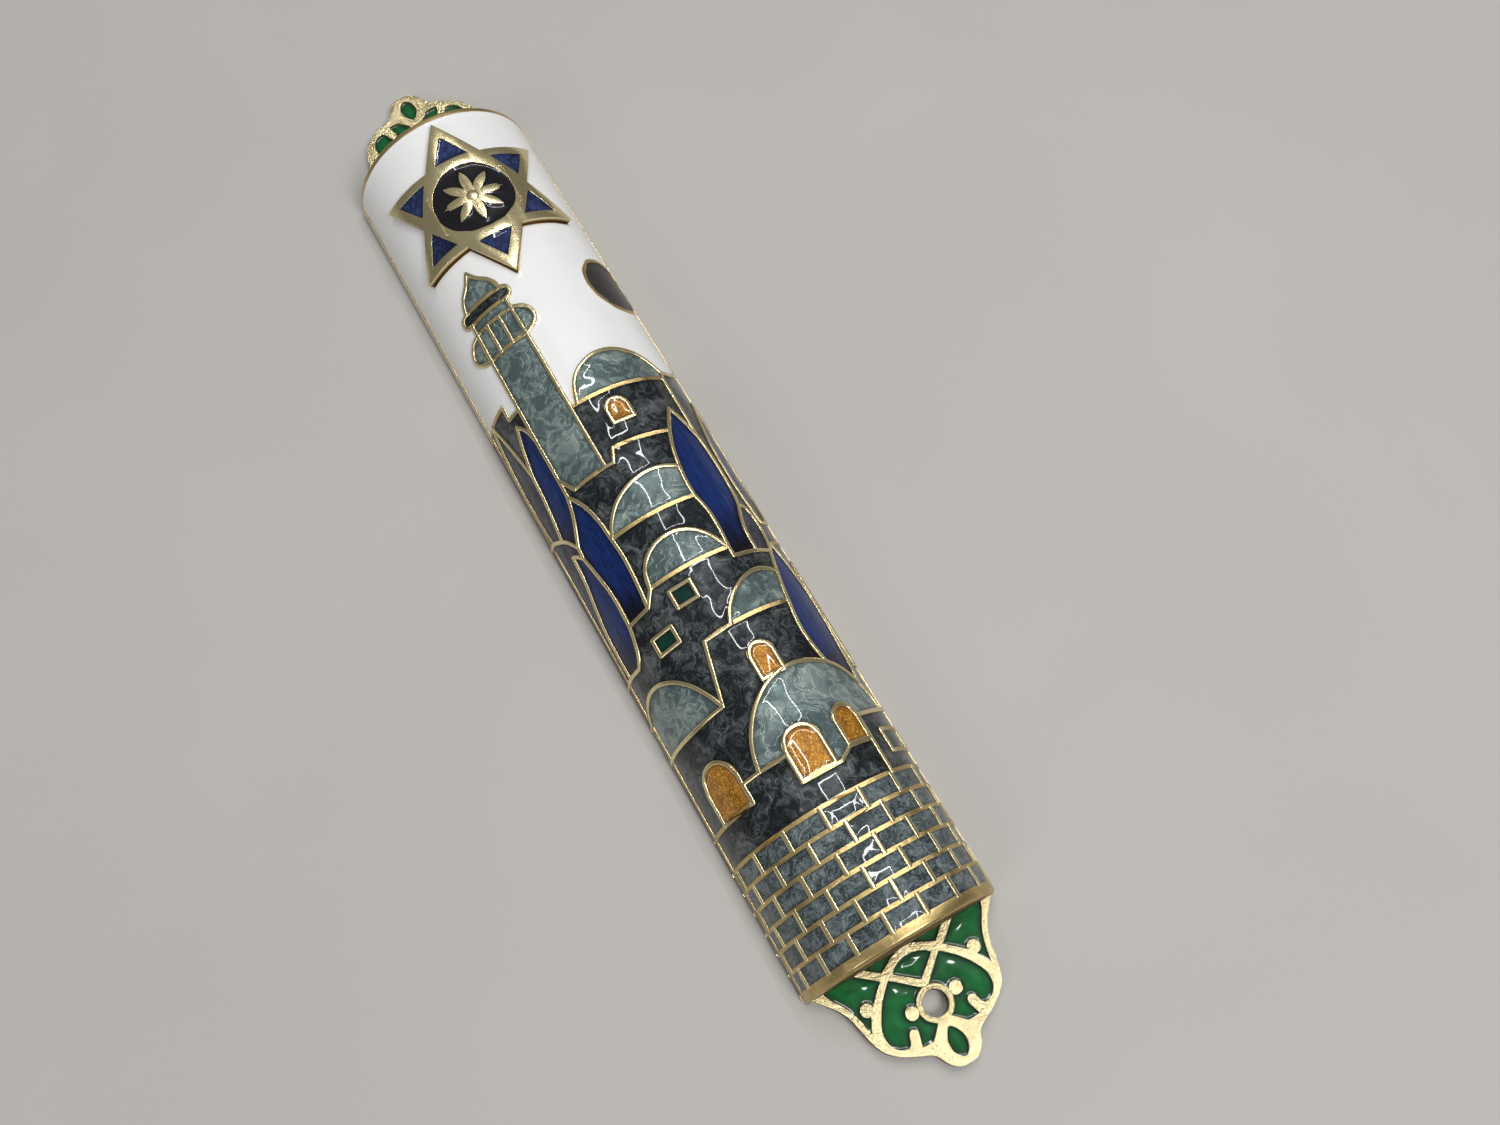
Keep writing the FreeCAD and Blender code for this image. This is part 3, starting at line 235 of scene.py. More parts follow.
def laid(points):
    """Flat points (across, up, above the frame's origin), in millimetres, as they lie, in metres."""
    return points * MM


def lifted(points):
    """The flat place of points on the back plate."""
    return points / MM


# ---------------------------------------------------------------- pieces
def only(*objects):
    """Select these objects and nothing else."""
    bpy.ops.object.select_all(action="DESELECT")
    for item in objects:
        item.select_set(True)
    bpy.context.view_layer.objects.active = objects[0]


def vertices(item):
    """The places of a mesh's vertices."""
    flat = np.empty(len(item.data.vertices) * 3)
    item.data.vertices.foreach_get("co", flat)
    return flat.reshape(-1, 3)


def place(item, points):
    """Give a mesh's vertices new places."""
    item.data.vertices.foreach_set("co", points.astype(np.float32).ravel())
    item.data.update()


def named(name):
    """The object that an operator has just made, under its own name."""
    item = bpy.context.object
    item.name = name
    item.data.name = name
    return item


def joined(name, items):
    """Several objects as one."""
    only(*items)
    if len(items) > 1:
        bpy.ops.object.join()
    return named(name)


def edited(item, *steps):
    """Run edit operators on the whole of one mesh."""
    only(item)
    bpy.ops.object.mode_set(mode="EDIT")
    bpy.ops.mesh.select_all(action="SELECT")
    for step in steps:
        step()
    bpy.ops.object.mode_set(mode="OBJECT")


def applied(item, kind, **settings):
    """Add a modifier, set it and apply it."""
    only(item)
    modifier = item.modifiers.new(kind.lower(), kind)
    for key, value in settings.items():
        setattr(modifier, key, value)
    bpy.ops.object.modifier_apply(modifier=modifier.name)


def smooth(item, degrees):
    """Shade smoothly, and keep the edges sharper than this angle."""
    only(item)
    bpy.ops.object.shade_smooth_by_angle(angle=math.radians(degrees))


def finish_piece(item, body, slot, material, *nodes):
    """Give a piece its material, tie it to its body and hide the nodes that it stands for; the slot is not
    used.
    """
    item.data.materials.clear()
    item.data.materials.append(material)
    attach(item, body)
    if nodes:
        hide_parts(*nodes)


# ---------------------------------------------------------------- enamel
WALL_HIDE = 0.08             # how far an enamel sheet runs in under its wires
SHEET = 0.35                 # thickness of a sheet
MENISCUS = 0.25              # how far from a wire the enamel climbs
DOME_REACH = 1.2             # how far from a wire a domed sheet is still rising
FACE_BAND = 0.03             # a cell's upper face is flat to within this
RIPPLE = 0.022               # unevenness of the fired surface
RIPPLE_PITCH = 0.6           # turns of the unevenness to a millimetre


def flat_cells(node, flatten, top):
    """The upper faces of a node's cells, laid flat: corner places and triangles."""
    item = frame["nodes"][node]
    item.data.calc_loop_triangles()
    corners = np.array([t.vertices[:] for t in item.data.loop_triangles])
    flat = flatten(vertices(item))
    upper = np.all(flat[corners][:, :, 2] > top - FACE_BAND, axis=1)
    spots = np.round(flat[corners[upper]][:, :, :2].reshape(-1, 2), 4)
    points, index = np.unique(spots, axis=0, return_inverse=True)
    triangles = index.reshape(-1, 3)
    real = [t for t in triangles if len(set(t)) == 3]
    return points, np.array(real)


def open_edges(triangles):
    """The edges that only one triangle has."""
    pairs = np.concatenate([triangles[:, [0, 1]], triangles[:, [1, 2]], triangles[:, [2, 0]]])
    pairs.sort(axis=1)
    found, count = np.unique(pairs, axis=0, return_counts=True)
    return found[count == 1]


def islands_of(points, triangles):
    """For each triangle, the lowest and highest point of the cell that it belongs to."""
    label = np.arange(len(points))
    while True:
        least = label[triangles].min(axis=1)
        before = label.copy()
        for corner in range(3):
            np.minimum.at(label, triangles[:, corner], least)
        if np.array_equal(before, label):
            break
    cell = label[triangles[:, 0]]
    spans = {}
    for number in set(cell):
        heights = points[triangles[cell == number].ravel()][:, 1]
        spans[number] = (heights.min(), heights.max())
    return [spans[number] for number in cell]


def enamel_sheet(name, node, flatten, lay, top, pitch, level, climb, dome=0.0):
    """Glossy enamel that fills a node's cells: a fine grid trimmed to the cells, raised at the wires."""
    points, triangles = flat_cells(node, flatten, top)
    spans = islands_of(points, triangles)
    roof = BVHTree.FromPolygons([(x, y, 0) for x, y in points], triangles.tolist())
    edges = open_edges(triangles)
    posts = [(x, y, z) for z in (-1, 1) for x, y in points]
    count = len(points)
    walls = BVHTree.FromPolygons(posts, [(a, b, b + count, a + count) for a, b in edges.tolist()])
    low, high = points.min(0) - pitch, points.max(0) + pitch
    steps = np.maximum(np.ceil((high - low) / pitch).astype(int), 2)
    bpy.ops.mesh.primitive_grid_add(x_subdivisions=int(steps[0]), y_subdivisions=int(steps[1]), size=1)
    item = named(name)
    grid = vertices(item)
    grid[:, :2] = low + (grid[:, :2] + 0.5) * (high - low)
    place(item, grid)
    down = Vector((0, 0, -1))
    inside = np.array([roof.ray_cast((x, y, 1), down)[0] is not None for x, y, _ in grid])
    corners = np.array([p.vertices[:] for p in item.data.polygons])
    bpy.context.tool_settings.mesh_select_mode = (False, False, True)
    only(item)
    item.data.polygons.foreach_set("select", ~inside[corners].any(axis=1))
    bpy.ops.object.mode_set(mode="EDIT")
    bpy.ops.mesh.delete(type="FACE")
    bpy.ops.object.mode_set(mode="OBJECT")
    grid = vertices(item)
    reach = np.zeros(len(grid))
    rise = np.zeros(len(grid))
    lapped = np.zeros(len(grid), bool)
    for number, (x, y, _) in enumerate(grid):
        near, _, _, gap = walls.find_nearest((x, y, 0))
        hit = roof.ray_cast((x, y, 1), down)
        if hit[0] is None:
            share = WALL_HIDE / max(gap, WALL_HIDE)
            grid[number, :2] = near.x + (x - near.x) * share, near.y + (y - near.y) * share
            gap = 0
            triangle = roof.find_nearest((x, y, 0))[2]
            if flatten is unrolled and abs(near.x) > CELL_EDGE:
                lapped[number] = True
        else:
            triangle = hit[2]
        foot, head = spans[triangle]
        reach[number] = gap
        rise[number] = (y - foot) / max(head - foot, pitch)
    ripple = np.array([noise.noise(Vector((x * RIPPLE_PITCH, y * RIPPLE_PITCH, 0))) for x, y, _ in grid])
    height = climb * np.exp(-reach / MENISCUS) + dome * (1 - np.exp(-reach / DOME_REACH))
    grid[:, 2] = level + (height + RIPPLE * ripple)
    grid[lapped, 0] = np.sign(grid[lapped, 0]) * PANEL_HALF
    grid[lapped, 2] = LAP_RISE
    reach[np.abs(grid[:, 0]) > CELL_EDGE - 1] = 1
    place(item, lay(grid))
    for title, values in (("wall_reach", reach), ("cell_rise", rise)):
        attribute = item.data.attributes.new(title, "FLOAT", "POINT")
        attribute.data.foreach_set("value", values.astype(np.float32))
    applied(item, "SOLIDIFY", thickness=SHEET * MM, offset=-1)
    smooth(item, 50)
    return item


# ---------------------------------------------------------------- wires
WIRE_STEP = 0.35             # spacing of the rings along a bent wire
WIRE_UNEVEN = 0.07           # how much a wire's thickness wanders


def bead_line(splines, runs, width):
    """Add one spline for each run of flat points: straight through two, smooth through more."""
    for run in runs:
        spline = splines.new("BEZIER")
        spline.bezier_points.add(len(run) - 1)
        kind = "AUTO" if len(run) > 2 else "VECTOR"
        length = sum(math.dist(a, b) for a, b in zip(run, run[1:]))
        spline.resolution_u = max(2, int(length / (len(run) - 1) / WIRE_STEP))
        for point, (x, y) in zip(spline.bezier_points, run):
            point.co = (x, y, 0)
            point.handle_left_type = kind
            point.handle_right_type = kind
            point.radius = 1 + WIRE_UNEVEN * noise.noise(Vector((x, y, width)))


def knots(runs, width):
    """Small balls that round off the ends and corners of the wires."""
    spots = {(round(x, 2), round(y, 2)) for run in runs for x, y in (run[0], run[-1])}
    bpy.ops.mesh.primitive_ico_sphere_add(subdivisions=2, radius=width / 2)
    ball = named("wire_end")
    base = vertices(ball)
    balls = []
    for x, y in sorted(spots):
        twin = ball.copy()
        twin.data = ball.data.copy()
        bpy.context.scene.collection.objects.link(twin)
        place(twin, base + (x, y, 0))
        balls.append(twin)
    bpy.data.objects.remove(ball)
    return joined("wire_ends", balls)


def wires(name, runs, width=0.5, proud=0.14, lift=0.0, slot="shell_metal", material=None, capped=True):
    """Flat-topped gold wire along flat runs, rolled round the shell."""
    curve = bpy.data.curves.new(name, "CURVE")
    curve.dimensions = "3D"
    curve.bevel_depth = width / 2
    curve.bevel_resolution = 3
    curve.use_fill_caps = True
    bead_line(curve.splines, runs, width)
    line = bpy.data.objects.new(name, curve)
    bpy.context.scene.collection.objects.link(line)
    only(line)
    bpy.ops.object.convert(target="MESH")
    item = joined(name, [bpy.context.object, knots(runs, width)] if capped else [bpy.context.object])
    points = vertices(item)
    share = np.clip(points[:, 2] / (width / 2), -1, 1)
    points[:, 2] = lift + np.where(share > 0, proud * np.sqrt(np.abs(share)), share * width / 2)
    place(item, rolled(points))
    smooth(item, 60)
    finish_piece(item, "case", slot, material)


def arch_runs(left, right, sill, spring, crown):
    """An opening's outline: its round head and three straight sides."""
    lean = 0.7
    middle = (left + right) / 2
    shoulder = spring + (crown - spring) * lean
    head = [(right, spring), (middle + (right - middle) * lean, shoulder), (middle, crown),
            (middle - (middle - left) * lean, shoulder), (left, spring)]
    return [head, [(left, spring), (left, sill)], [(left, sill), (right, sill)],
            [(right, sill), (right, spring)]]


def box_runs(left, right, low, high):
    """The four sides of a square opening."""
    corners = [(left, low), (right, low), (right, high), (left, high), (left, low)]
    return [[a, b] for a, b in zip(corners, corners[1:])]


def ring_run(centre, radius, count=12):
    """A round line."""
    turns = [2 * math.pi * step / count for step in range(count + 1)]
    return [(centre[0] + radius * math.cos(t), centre[1] + radius * math.sin(t)) for t in turns]


def course_runs():
    """The mortar lines round the shell, one above each course."""
    heights = [BRICK_TOP - course * COURSE_HEIGHT for course in range(len(COURSES))]
    return [[(-PANEL_HALF, high), (PANEL_HALF, high)] for high in heights]


def joint_runs():
    """The upright joints between bricks."""
    runs = []
    for course, (joint, pitch) in enumerate(COURSES):
        high = BRICK_TOP - course * COURSE_HEIGHT
        reach = PANEL_HALF - SHORTEST_BRICK
        first = int((-reach - joint) // pitch) + 1
        last = int((reach - joint) // pitch)
        for step in range(first, last + 1):
            x = joint + pitch * step
            runs.append([(x, high), (x, high - COURSE_HEIGHT)])
    return runs


# ---------------------------------------------------------------- metal pieces
def rounded_copy(name, node, width, segments=3):
    """A copy of a CAD piece with its sharp edges rounded."""
    item = frame["nodes"][node].copy()
    item.data = item.data.copy()
    bpy.context.scene.collection.objects.link(item)
    item.parent = None
    item.name = name
    item.data.name = name
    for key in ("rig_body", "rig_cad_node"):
        del item[key]
    only(item)
    bpy.ops.mesh.customdata_custom_splitnormals_clear()
    edited(item, lambda: bpy.ops.mesh.remove_doubles(threshold=0.002 * MM),
           lambda: bpy.ops.mesh.dissolve_limited(angle_limit=math.radians(0.5)))
    if width:
        applied(item, "BEVEL", width=width * MM, segments=segments, limit_method="ANGLE",
                angle_limit=math.radians(40), use_clamp_overlap=True)
    smooth(item, 35)
    return item


def eyelet_rims():
    """Two low raised rings round each screw hole."""
    rings = []
    for end in (-1, 1):
        for reach, thick in EYELET_RINGS:
            bpy.ops.mesh.primitive_torus_add(major_segments=64, minor_segments=12, major_radius=reach * MM,
                                             minor_radius=thick / 2 * MM)
            ring = named("ring")
            points = vertices(ring)
            points[:, 2] = points[:, 2] * 0.75 + (PLATE_TOP - 0.035) * MM
            points[:, 1] += end * HOLE_REACH * MM
            place(ring, points)
            rings.append(ring)
    item = joined("eyelet_rims", rings)
    smooth(item, 60)
    return item


# ---------------------------------------------------------------- material tools
def put(tree, kind, inputs=None, **settings):
    """Add a node. An input is given as a value or as the socket that feeds it."""
    node = tree.nodes.new(kind)
    for key, value in settings.items():
        setattr(node, key, value)
    for key, value in (inputs or {}).items():
        if isinstance(value, bpy.types.NodeSocket):
            tree.links.new(value, node.inputs[key])
        else:
            node.inputs[key].default_value = value
    return node


def sums(tree, operation, first, second=0.0):
    """One step of arithmetic on one or two numbers."""
    return put(tree, "ShaderNodeMath", {0: first, 1: second}, operation=operation).outputs[0]


def arrows(tree, operation, first, second):
    """One step of arithmetic on two vectors."""
    return put(tree, "ShaderNodeVectorMath", {0: first, 1: second}, operation=operation).outputs[0]


def ranged(tree, value, low, high, start=0.0, end=1.0):
    """A value brought from one range to another, without going past its ends."""
    node = put(tree, "ShaderNodeMapRange", {0: value, 1: low, 2: high, 3: start, 4: end})
    return node.outputs[0]


def mixed(tree, share, first, second, blend="MIX"):
    """A mix of two colours."""
    node = put(tree, "ShaderNodeMix", {0: share, 6: first, 7: second}, data_type="RGBA", blend_type=blend)
    return node.outputs[2]


def grain(tree, where, scale, detail=2.0, distortion=0.0, roughness=0.5):
    """Soft noise from 0 to 1, with its scale in turns to a millimetre."""
    inputs = {"Vector": where, "Scale": scale, "Detail": detail, "Distortion": distortion,
              "Roughness": roughness}
    return put(tree, "ShaderNodeTexNoise", inputs).outputs[0]


def new_group(name, takes, gives):
    """A node group with named inputs and outputs."""
    group = bpy.data.node_groups.new(name, "ShaderNodeTree")
    for title, kind, value in takes:
        socket = group.interface.new_socket(name=title, in_out="INPUT", socket_type="NodeSocket" + kind)
        if value is not None:
            socket.default_value = value
    for title, kind in gives:
        group.interface.new_socket(name=title, in_out="OUTPUT", socket_type="NodeSocket" + kind)
    return group, group.nodes.new("NodeGroupInput").outputs, group.nodes.new("NodeGroupOutput").inputs


def in_millimetres(tree, stretch=(1, 1, 1)):
    """Object coordinates in millimetres."""
    source = tree.nodes.new("ShaderNodeTexCoord").outputs["Object"]
    scale = [part / MM for part in stretch]
    return put(tree, "ShaderNodeMapping", {"Vector": source, "Scale": scale}).outputs[0]


def new_material(name):
    """A material with an empty Principled BSDF."""
    material = bpy.data.materials.new(name)
    material.use_nodes = True
    tree = material.node_tree
    return material, tree, tree.nodes["Principled BSDF"]


def placed(tree, group, inputs):
    """Put a shared group in a material."""
    return put(tree, "ShaderNodeGroup", inputs, node_tree=group).outputs


def bumped(tree, height, strength, depth):
    """A normal from a height, in millimetres."""
    inputs = {"Height": height, "Strength": strength, "Distance": depth * MM}
    return put(tree, "ShaderNodeBump", inputs).outputs[0]


def paint(red, green, blue):
    """A colour as a node takes it."""
    return (red, green, blue, 1.0)


# ---------------------------------------------------------------- shared effects
WARP = 5.0                   # how far the stirring pulls the clouds, in millimetres


def make_swirl():
    """Mica stirred into enamel: marbled clouds with bright curling veins, and painted glints of its flakes.
    """
    group, takes, gives = new_group(
        "stirred mica",
        [("Place", "Vector", None), ("Dark", "Color", paint(0, 0, 0)),
         ("Middle", "Color", paint(0.1, 0.1, 0.1)), ("Light", "Color", paint(0.3, 0.3, 0.3)),
         ("Scale", "Float", 0.3), ("Light share", "Float", 0.5), ("Sparkle", "Float", 0.3)],
        [("Color", "Color"), ("Height", "Float")])
    scale = takes["Scale"]
    bend = put(group, "ShaderNodeTexNoise", {"Vector": takes["Place"], "Scale": scale, "Detail": 2.0})
    centred = arrows(group, "SUBTRACT", bend.outputs[1], (0.5, 0.5, 0.5))
    moved = arrows(group, "ADD", takes["Place"], arrows(group, "MULTIPLY", centred, (WARP, WARP, WARP)))
    cloud = grain(group, moved, sums(group, "MULTIPLY", scale, 0.8), 2.0, 0.7, 0.5)
    strand = grain(group, moved, sums(group, "MULTIPLY", scale, 1.7), 3.0, 0.9, 0.5)
    flake = grain(group, takes["Place"], 9.0, 1.0)
    away = sums(group, "ABSOLUTE", sums(group, "SUBTRACT", strand, 0.5))
    vein = sums(group, "POWER", ranged(group, away, 0.0, 0.1, 1.0, 0.0), 2.0)
    both = sums(group, "ADD", sums(group, "MULTIPLY", cloud, 0.75), sums(group, "MULTIPLY", vein, 0.25))
    low = ranged(group, both, 0.32, 0.5)
    haze = sums(group, "ADD", sums(group, "MULTIPLY", vein, 0.8), ranged(group, cloud, 0.52, 0.8, 0.0, 0.6))
    shown = sums(group, "MULTIPLY", haze, ranged(group, cloud, 0.36, 0.6))
    high = sums(group, "MULTIPLY", sums(group, "MINIMUM", shown, 1.0), takes["Light share"])
    body = mixed(group, low, takes["Dark"], takes["Middle"])
    bright = mixed(group, high, body, takes["Light"])
    # Painted glints: random flecks are painted in the light colour.
    glint = sums(group, "MULTIPLY", ranged(group, flake, 0.62, 0.75), takes["Sparkle"])
    group.links.new(mixed(group, glint, bright, takes["Light"]), gives["Color"])
    group.links.new(both, gives["Height"])
    return group


def make_wall_shade():
    """Enamel is painted darker where it meets a wire: painted shade beside the raised wire, and the deeper
    enamel at its edge.
    """
    group, takes, gives = new_group(
        "painted shade at the wires",
        [("Color", "Color", paint(0.5, 0.5, 0.5)), ("Wall shade color", "Color", paint(0, 0, 0)),
         ("Reach", "Float", 1.0), ("Width", "Float", 0.4), ("Amount", "Float", 0.7)],
        [("Color", "Color")])
    near = ranged(group, sums(group, "DIVIDE", takes["Reach"], takes["Width"]), 0.0, 1.0, 1.0, 0.0)
    share = sums(group, "MULTIPLY", sums(group, "POWER", near, 1.6), takes["Amount"])
    group.links.new(mixed(group, share, takes["Color"], takes["Wall shade color"]), gives["Color"])
    return group


def make_plating_tarnish_and_shade():
    """Gold plating, mottled with tarnish and pitted; painted shade makes its low places brown and leaves its
    raised places bright.
    """
    group, takes, gives = new_group(
        "plating tarnish and painted shade",
        [("Place", "Vector", None), ("Bright", "Color", paint(0.9, 0.8, 0.5)),
         ("Tarnish and shade", "Color", paint(0.2, 0.1, 0.05)), ("Level axes", "Vector", (0, 0, 1)),
         ("Low", "Float", 0.0), ("High", "Float", 1.0), ("Mottle", "Float", 0.3),
         ("Smooth roughness", "Float", 0.25), ("Pit scale", "Float", 2.0)],
        [("Color", "Color"), ("Roughness", "Float"), ("Height", "Float")])
    level = arrows(group, "MULTIPLY", takes["Place"], takes["Level axes"])
    height = put(group, "ShaderNodeVectorMath", {0: level}, operation="LENGTH").outputs["Value"]
    span = sums(group, "SUBTRACT", takes["High"], takes["Low"])
    above = sums(group, "SUBTRACT", height, takes["Low"])
    # Painted shade: the lower a place lies, the browner it is painted.
    raised_share = ranged(group, sums(group, "DIVIDE", above, span), 0.0, 1.0)
    patch = ranged(group, grain(group, takes["Place"], 0.35, 4.0, 0.6), 0.35, 0.75)
    speck = ranged(group, grain(group, takes["Place"], 5.0, 3.0), 0.45, 0.8)
    dirt = sums(group, "MULTIPLY", sums(group, "ADD", patch, speck), takes["Mottle"])
    low = sums(group, "SUBTRACT", 1.0, raised_share)
    share = sums(group, "MINIMUM", sums(group, "ADD", low, dirt), 1.0)
    pits = grain(group, takes["Place"], takes["Pit scale"], 4.0, 0.0, 0.6)
    group.links.new(mixed(group, share, takes["Bright"], takes["Tarnish and shade"]), gives["Color"])
    group.links.new(sums(group, "ADD", takes["Smooth roughness"], sums(group, "MULTIPLY", share, 0.3)),
                    gives["Roughness"])
    group.links.new(pits, gives["Height"])
    return group


SWIRL = make_swirl()
WALL_SHADE = make_wall_shade()
PLATING_TARNISH_AND_SHADE = make_plating_tarnish_and_shade()


# ---------------------------------------------------------------- materials
def glossy(shader, roughness, metallic=0.0, coat=0.85):
    """A clear glossy top over a softer body."""
    shader.inputs["Specular IOR Level"].default_value = 0.15
    shader.inputs["Roughness"].default_value = roughness
    shader.inputs["Metallic"].default_value = metallic
    shader.inputs["Coat Weight"].default_value = coat
    shader.inputs["Coat Roughness"].default_value = 0.03
    shader.inputs["Coat IOR"].default_value = 1.42


def coloured_with_wall_shade(tree, shader, colour, wall_shade_colour, width, amount):
    """Give a shader its colour, with painted shade near the wires."""
    reach = put(tree, "ShaderNodeAttribute", attribute_name="wall_reach").outputs["Fac"]
    shade = placed(tree, WALL_SHADE, {"Color": colour, "Wall shade color": wall_shade_colour, "Reach": reach, "Width": width,
                                  "Amount": amount})
    tree.links.new(shade["Color"], shader.inputs["Base Color"])


def stirred(name, dark, middle, light, scale=0.32, light_share=0.6, sparkle=0.35, stretch=(1, 1, 1),
            metallic=0.35, edge=0.75, edge_width=0.45, coat=0.85):
    """Pearly enamel with stirred mica under a clear glossy top."""
    material, tree, shader = new_material(name)
    where = in_millimetres(tree, stretch)
    swirl = placed(tree, SWIRL, {"Place": where, "Dark": dark, "Middle": middle, "Light": light,
                                 "Scale": scale, "Light share": light_share, "Sparkle": sparkle})
    # The painted shade at the wires is a quarter of the pearl's dark colour.
    pearl_wall_shade = [part * 0.25 for part in dark[:3]] + [1]
    coloured_with_wall_shade(tree, shader, swirl["Color"], pearl_wall_shade, edge_width, edge)
    tree.links.new(bumped(tree, swirl["Height"], 0.5, 0.5), shader.inputs["Normal"])
    glossy(shader, 0.36, metallic, coat)
    return material


def plain_enamel(name, colour, wall_shade_colour, variation, edge=0.8, edge_width=0.5, mottle=0.5, coat=0.85):
    """Clear or opaque enamel of one hue, a little cloudy, with painted shade at its edges."""
    material, tree, shader = new_material(name)
    where = in_millimetres(tree)
    cloud = ranged(tree, grain(tree, where, mottle, 4.0, 0.8), 0.3, 0.7)
    body = mixed(tree, cloud, colour, variation)
    coloured_with_wall_shade(tree, shader, body, wall_shade_colour, edge_width, edge)
    glossy(shader, 0.3, 0.0, coat)
    return material


def cypress_blue():
    """Deep blue enamel with streaks up and down the tree, black at the tree's foot."""
    material, tree, shader = new_material("cypress blue")
    where = in_millimetres(tree, (2.2, 0.28, 2.2))
    streak = ranged(tree, grain(tree, where, 1.0, 5.0, 0.7, 0.6), 0.3, 0.72)
    fine = ranged(tree, grain(tree, where, 3.2, 3.0), 0.3, 0.75)
    body = mixed(tree, streak, paint(0.001, 0.003, 0.02), paint(0.004, 0.024, 0.17))
    body = mixed(tree, sums(tree, "MULTIPLY", fine, 0.5), body, paint(0.012, 0.06, 0.3))
    rise = put(tree, "ShaderNodeAttribute", attribute_name="cell_rise").outputs["Fac"]
    wander = sums(tree, "ADD", rise, sums(tree, "MULTIPLY", streak, 0.16))
    body = mixed(tree, ranged(tree, wander, 0.12, 0.42, 1.0, 0.0), body, paint(0.002, 0.003, 0.008))
    # Painted shade at the wires, nearly black.
    coloured_with_wall_shade(tree, shader, body, paint(0.001, 0.002, 0.008), 0.8, 0.9)
    tree.links.new(bumped(tree, streak, 0.25, 0.3), shader.inputs["Normal"])
    glossy(shader, 0.35, 0.15, 0.5)
    return material


def amber_glitter():
    """Amber enamel full of fine gold glitter."""
    material, tree, shader = new_material("amber glitter")
    where = in_millimetres(tree)
    cell = put(tree, "ShaderNodeTexVoronoi", {"Vector": where, "Scale": 7.0})
    spark = put(tree, "ShaderNodeSeparateColor", {0: cell.outputs["Color"]}).outputs[0]
    cloud = ranged(tree, grain(tree, where, 0.7, 3.0, 0.8), 0.3, 0.7)
    body = mixed(tree, cloud, paint(0.2, 0.07, 0.004), paint(0.47, 0.2, 0.013))
    body = mixed(tree, ranged(tree, spark, 0.6, 1.0, 0.0, 0.8), body, paint(0.8, 0.45, 0.1))
    # Painted shade at the wires, dark brown.
    coloured_with_wall_shade(tree, shader, body, paint(0.12, 0.035, 0.004), 0.4, 0.8)
    tree.links.new(bumped(tree, spark, 0.35, 0.15), shader.inputs["Normal"])
    glossy(shader, 0.3, 0.15)
    return material


ROUND = (1, 0, 1)            # level measured out from the shell's axis
UPRIGHT = (0, 0, 1)          # level measured up from the back of the plate


def gold(name, bright, tarnish_and_shade, axes, low, high, mottle, roughness, pit_scale, pit_depth, pit_strength=0.6):
    """Gold on one kind of piece, with tarnish mottle and painted shade in its low places."""
    material, tree, shader = new_material(name)
    skin = placed(tree, PLATING_TARNISH_AND_SHADE, {"Place": in_millimetres(tree), "Bright": bright, "Tarnish and shade": tarnish_and_shade,
                                  "Level axes": axes, "Low": low, "High": high, "Mottle": mottle,
                                  "Smooth roughness": roughness, "Pit scale": pit_scale})
    tree.links.new(skin["Color"], shader.inputs["Base Color"])
    tree.links.new(skin["Roughness"], shader.inputs["Roughness"])
    tree.links.new(bumped(tree, skin["Height"], pit_strength, pit_depth), shader.inputs["Normal"])
    shader.inputs["Metallic"].default_value = 1.0
    return material


def parchment():
    """Dry skin: warm cream, fibrous, browner towards its ends."""
    material, tree, shader = new_material("parchment skin")
    where = in_millimetres(tree)
    fibre = grain(tree, in_millimetres(tree, (1, 0.12, 1)), 2.5, 5.0, 0.4)
    stain = ranged(tree, grain(tree, where, 0.15, 4.0, 0.5), 0.35, 0.7)
    along = put(tree, "ShaderNodeSeparateXYZ", {0: where}).outputs[1]
    end = ranged(tree, sums(tree, "ABSOLUTE", along), 42.0, 50.0, 0.0, 0.55)
    body = mixed(tree, stain, paint(0.66, 0.53, 0.35), paint(0.78, 0.68, 0.5))
    body = mixed(tree, sums(tree, "MULTIPLY", fibre, 0.4), body, paint(0.5, 0.37, 0.2))
    body = mixed(tree, end, body, paint(0.4, 0.27, 0.13))
    tree.links.new(body, shader.inputs["Base Color"])
    tree.links.new(bumped(tree, fibre, 0.4, 0.1), shader.inputs["Normal"])
    shader.inputs["Roughness"].default_value = 0.75
    return material


# The dark gold is both the tarnish mottle and the painted shade in the low places.
GOLD_BRIGHT = paint(0.93, 0.8, 0.46)
GOLD_DEEP = paint(0.72, 0.54, 0.24)
GOLD_DARK = paint(0.12, 0.065, 0.02)
WIRE_GOLD = gold("wire gold", GOLD_BRIGHT, GOLD_DARK, ROUND, RADIUS - 0.1, RADIUS + 0.06, 0.16, 0.22,
                 1.2, 0.05)
SHELL_GOLD = gold("shell gold", GOLD_DEEP, GOLD_DARK, ROUND, RADIUS - 1.6, RADIUS - 0.1, 0.3, 0.28, 1.6, 0.08)
STAR_GOLD = gold("star gold", GOLD_BRIGHT, GOLD_DARK, ROUND, STAR_TOP - 0.55, STAR_TOP - 0.1, 0.14, 0.24,
                 0.8, 0.06)
PLATE_GOLD = gold("plate gold", GOLD_BRIGHT, GOLD_DARK, UPRIGHT, PLATE_TOP - 0.8, PLATE_TOP - 0.1, 0.1, 0.24,
                  3.2, 0.22, 0.8)

SWIRLED = {                  # dark, middle and light colour of each pearly enamel
    "pale": (paint(0.085, 0.125, 0.125), paint(0.17, 0.235, 0.235), paint(0.5, 0.56, 0.5)),
    "slate": (paint(0.006, 0.009, 0.011), paint(0.024, 0.032, 0.036), paint(0.22, 0.24, 0.24)),
    "brick": (paint(0.03, 0.04, 0.043), paint(0.095, 0.13, 0.14), paint(0.42, 0.47, 0.47)),
    "grey blue": (paint(0.02, 0.022, 0.034), paint(0.05, 0.053, 0.08), paint(0.13, 0.145, 0.2)),
    "star blue": (paint(0.006, 0.012, 0.05), paint(0.018, 0.036, 0.14), paint(0.06, 0.1, 0.28)),
}
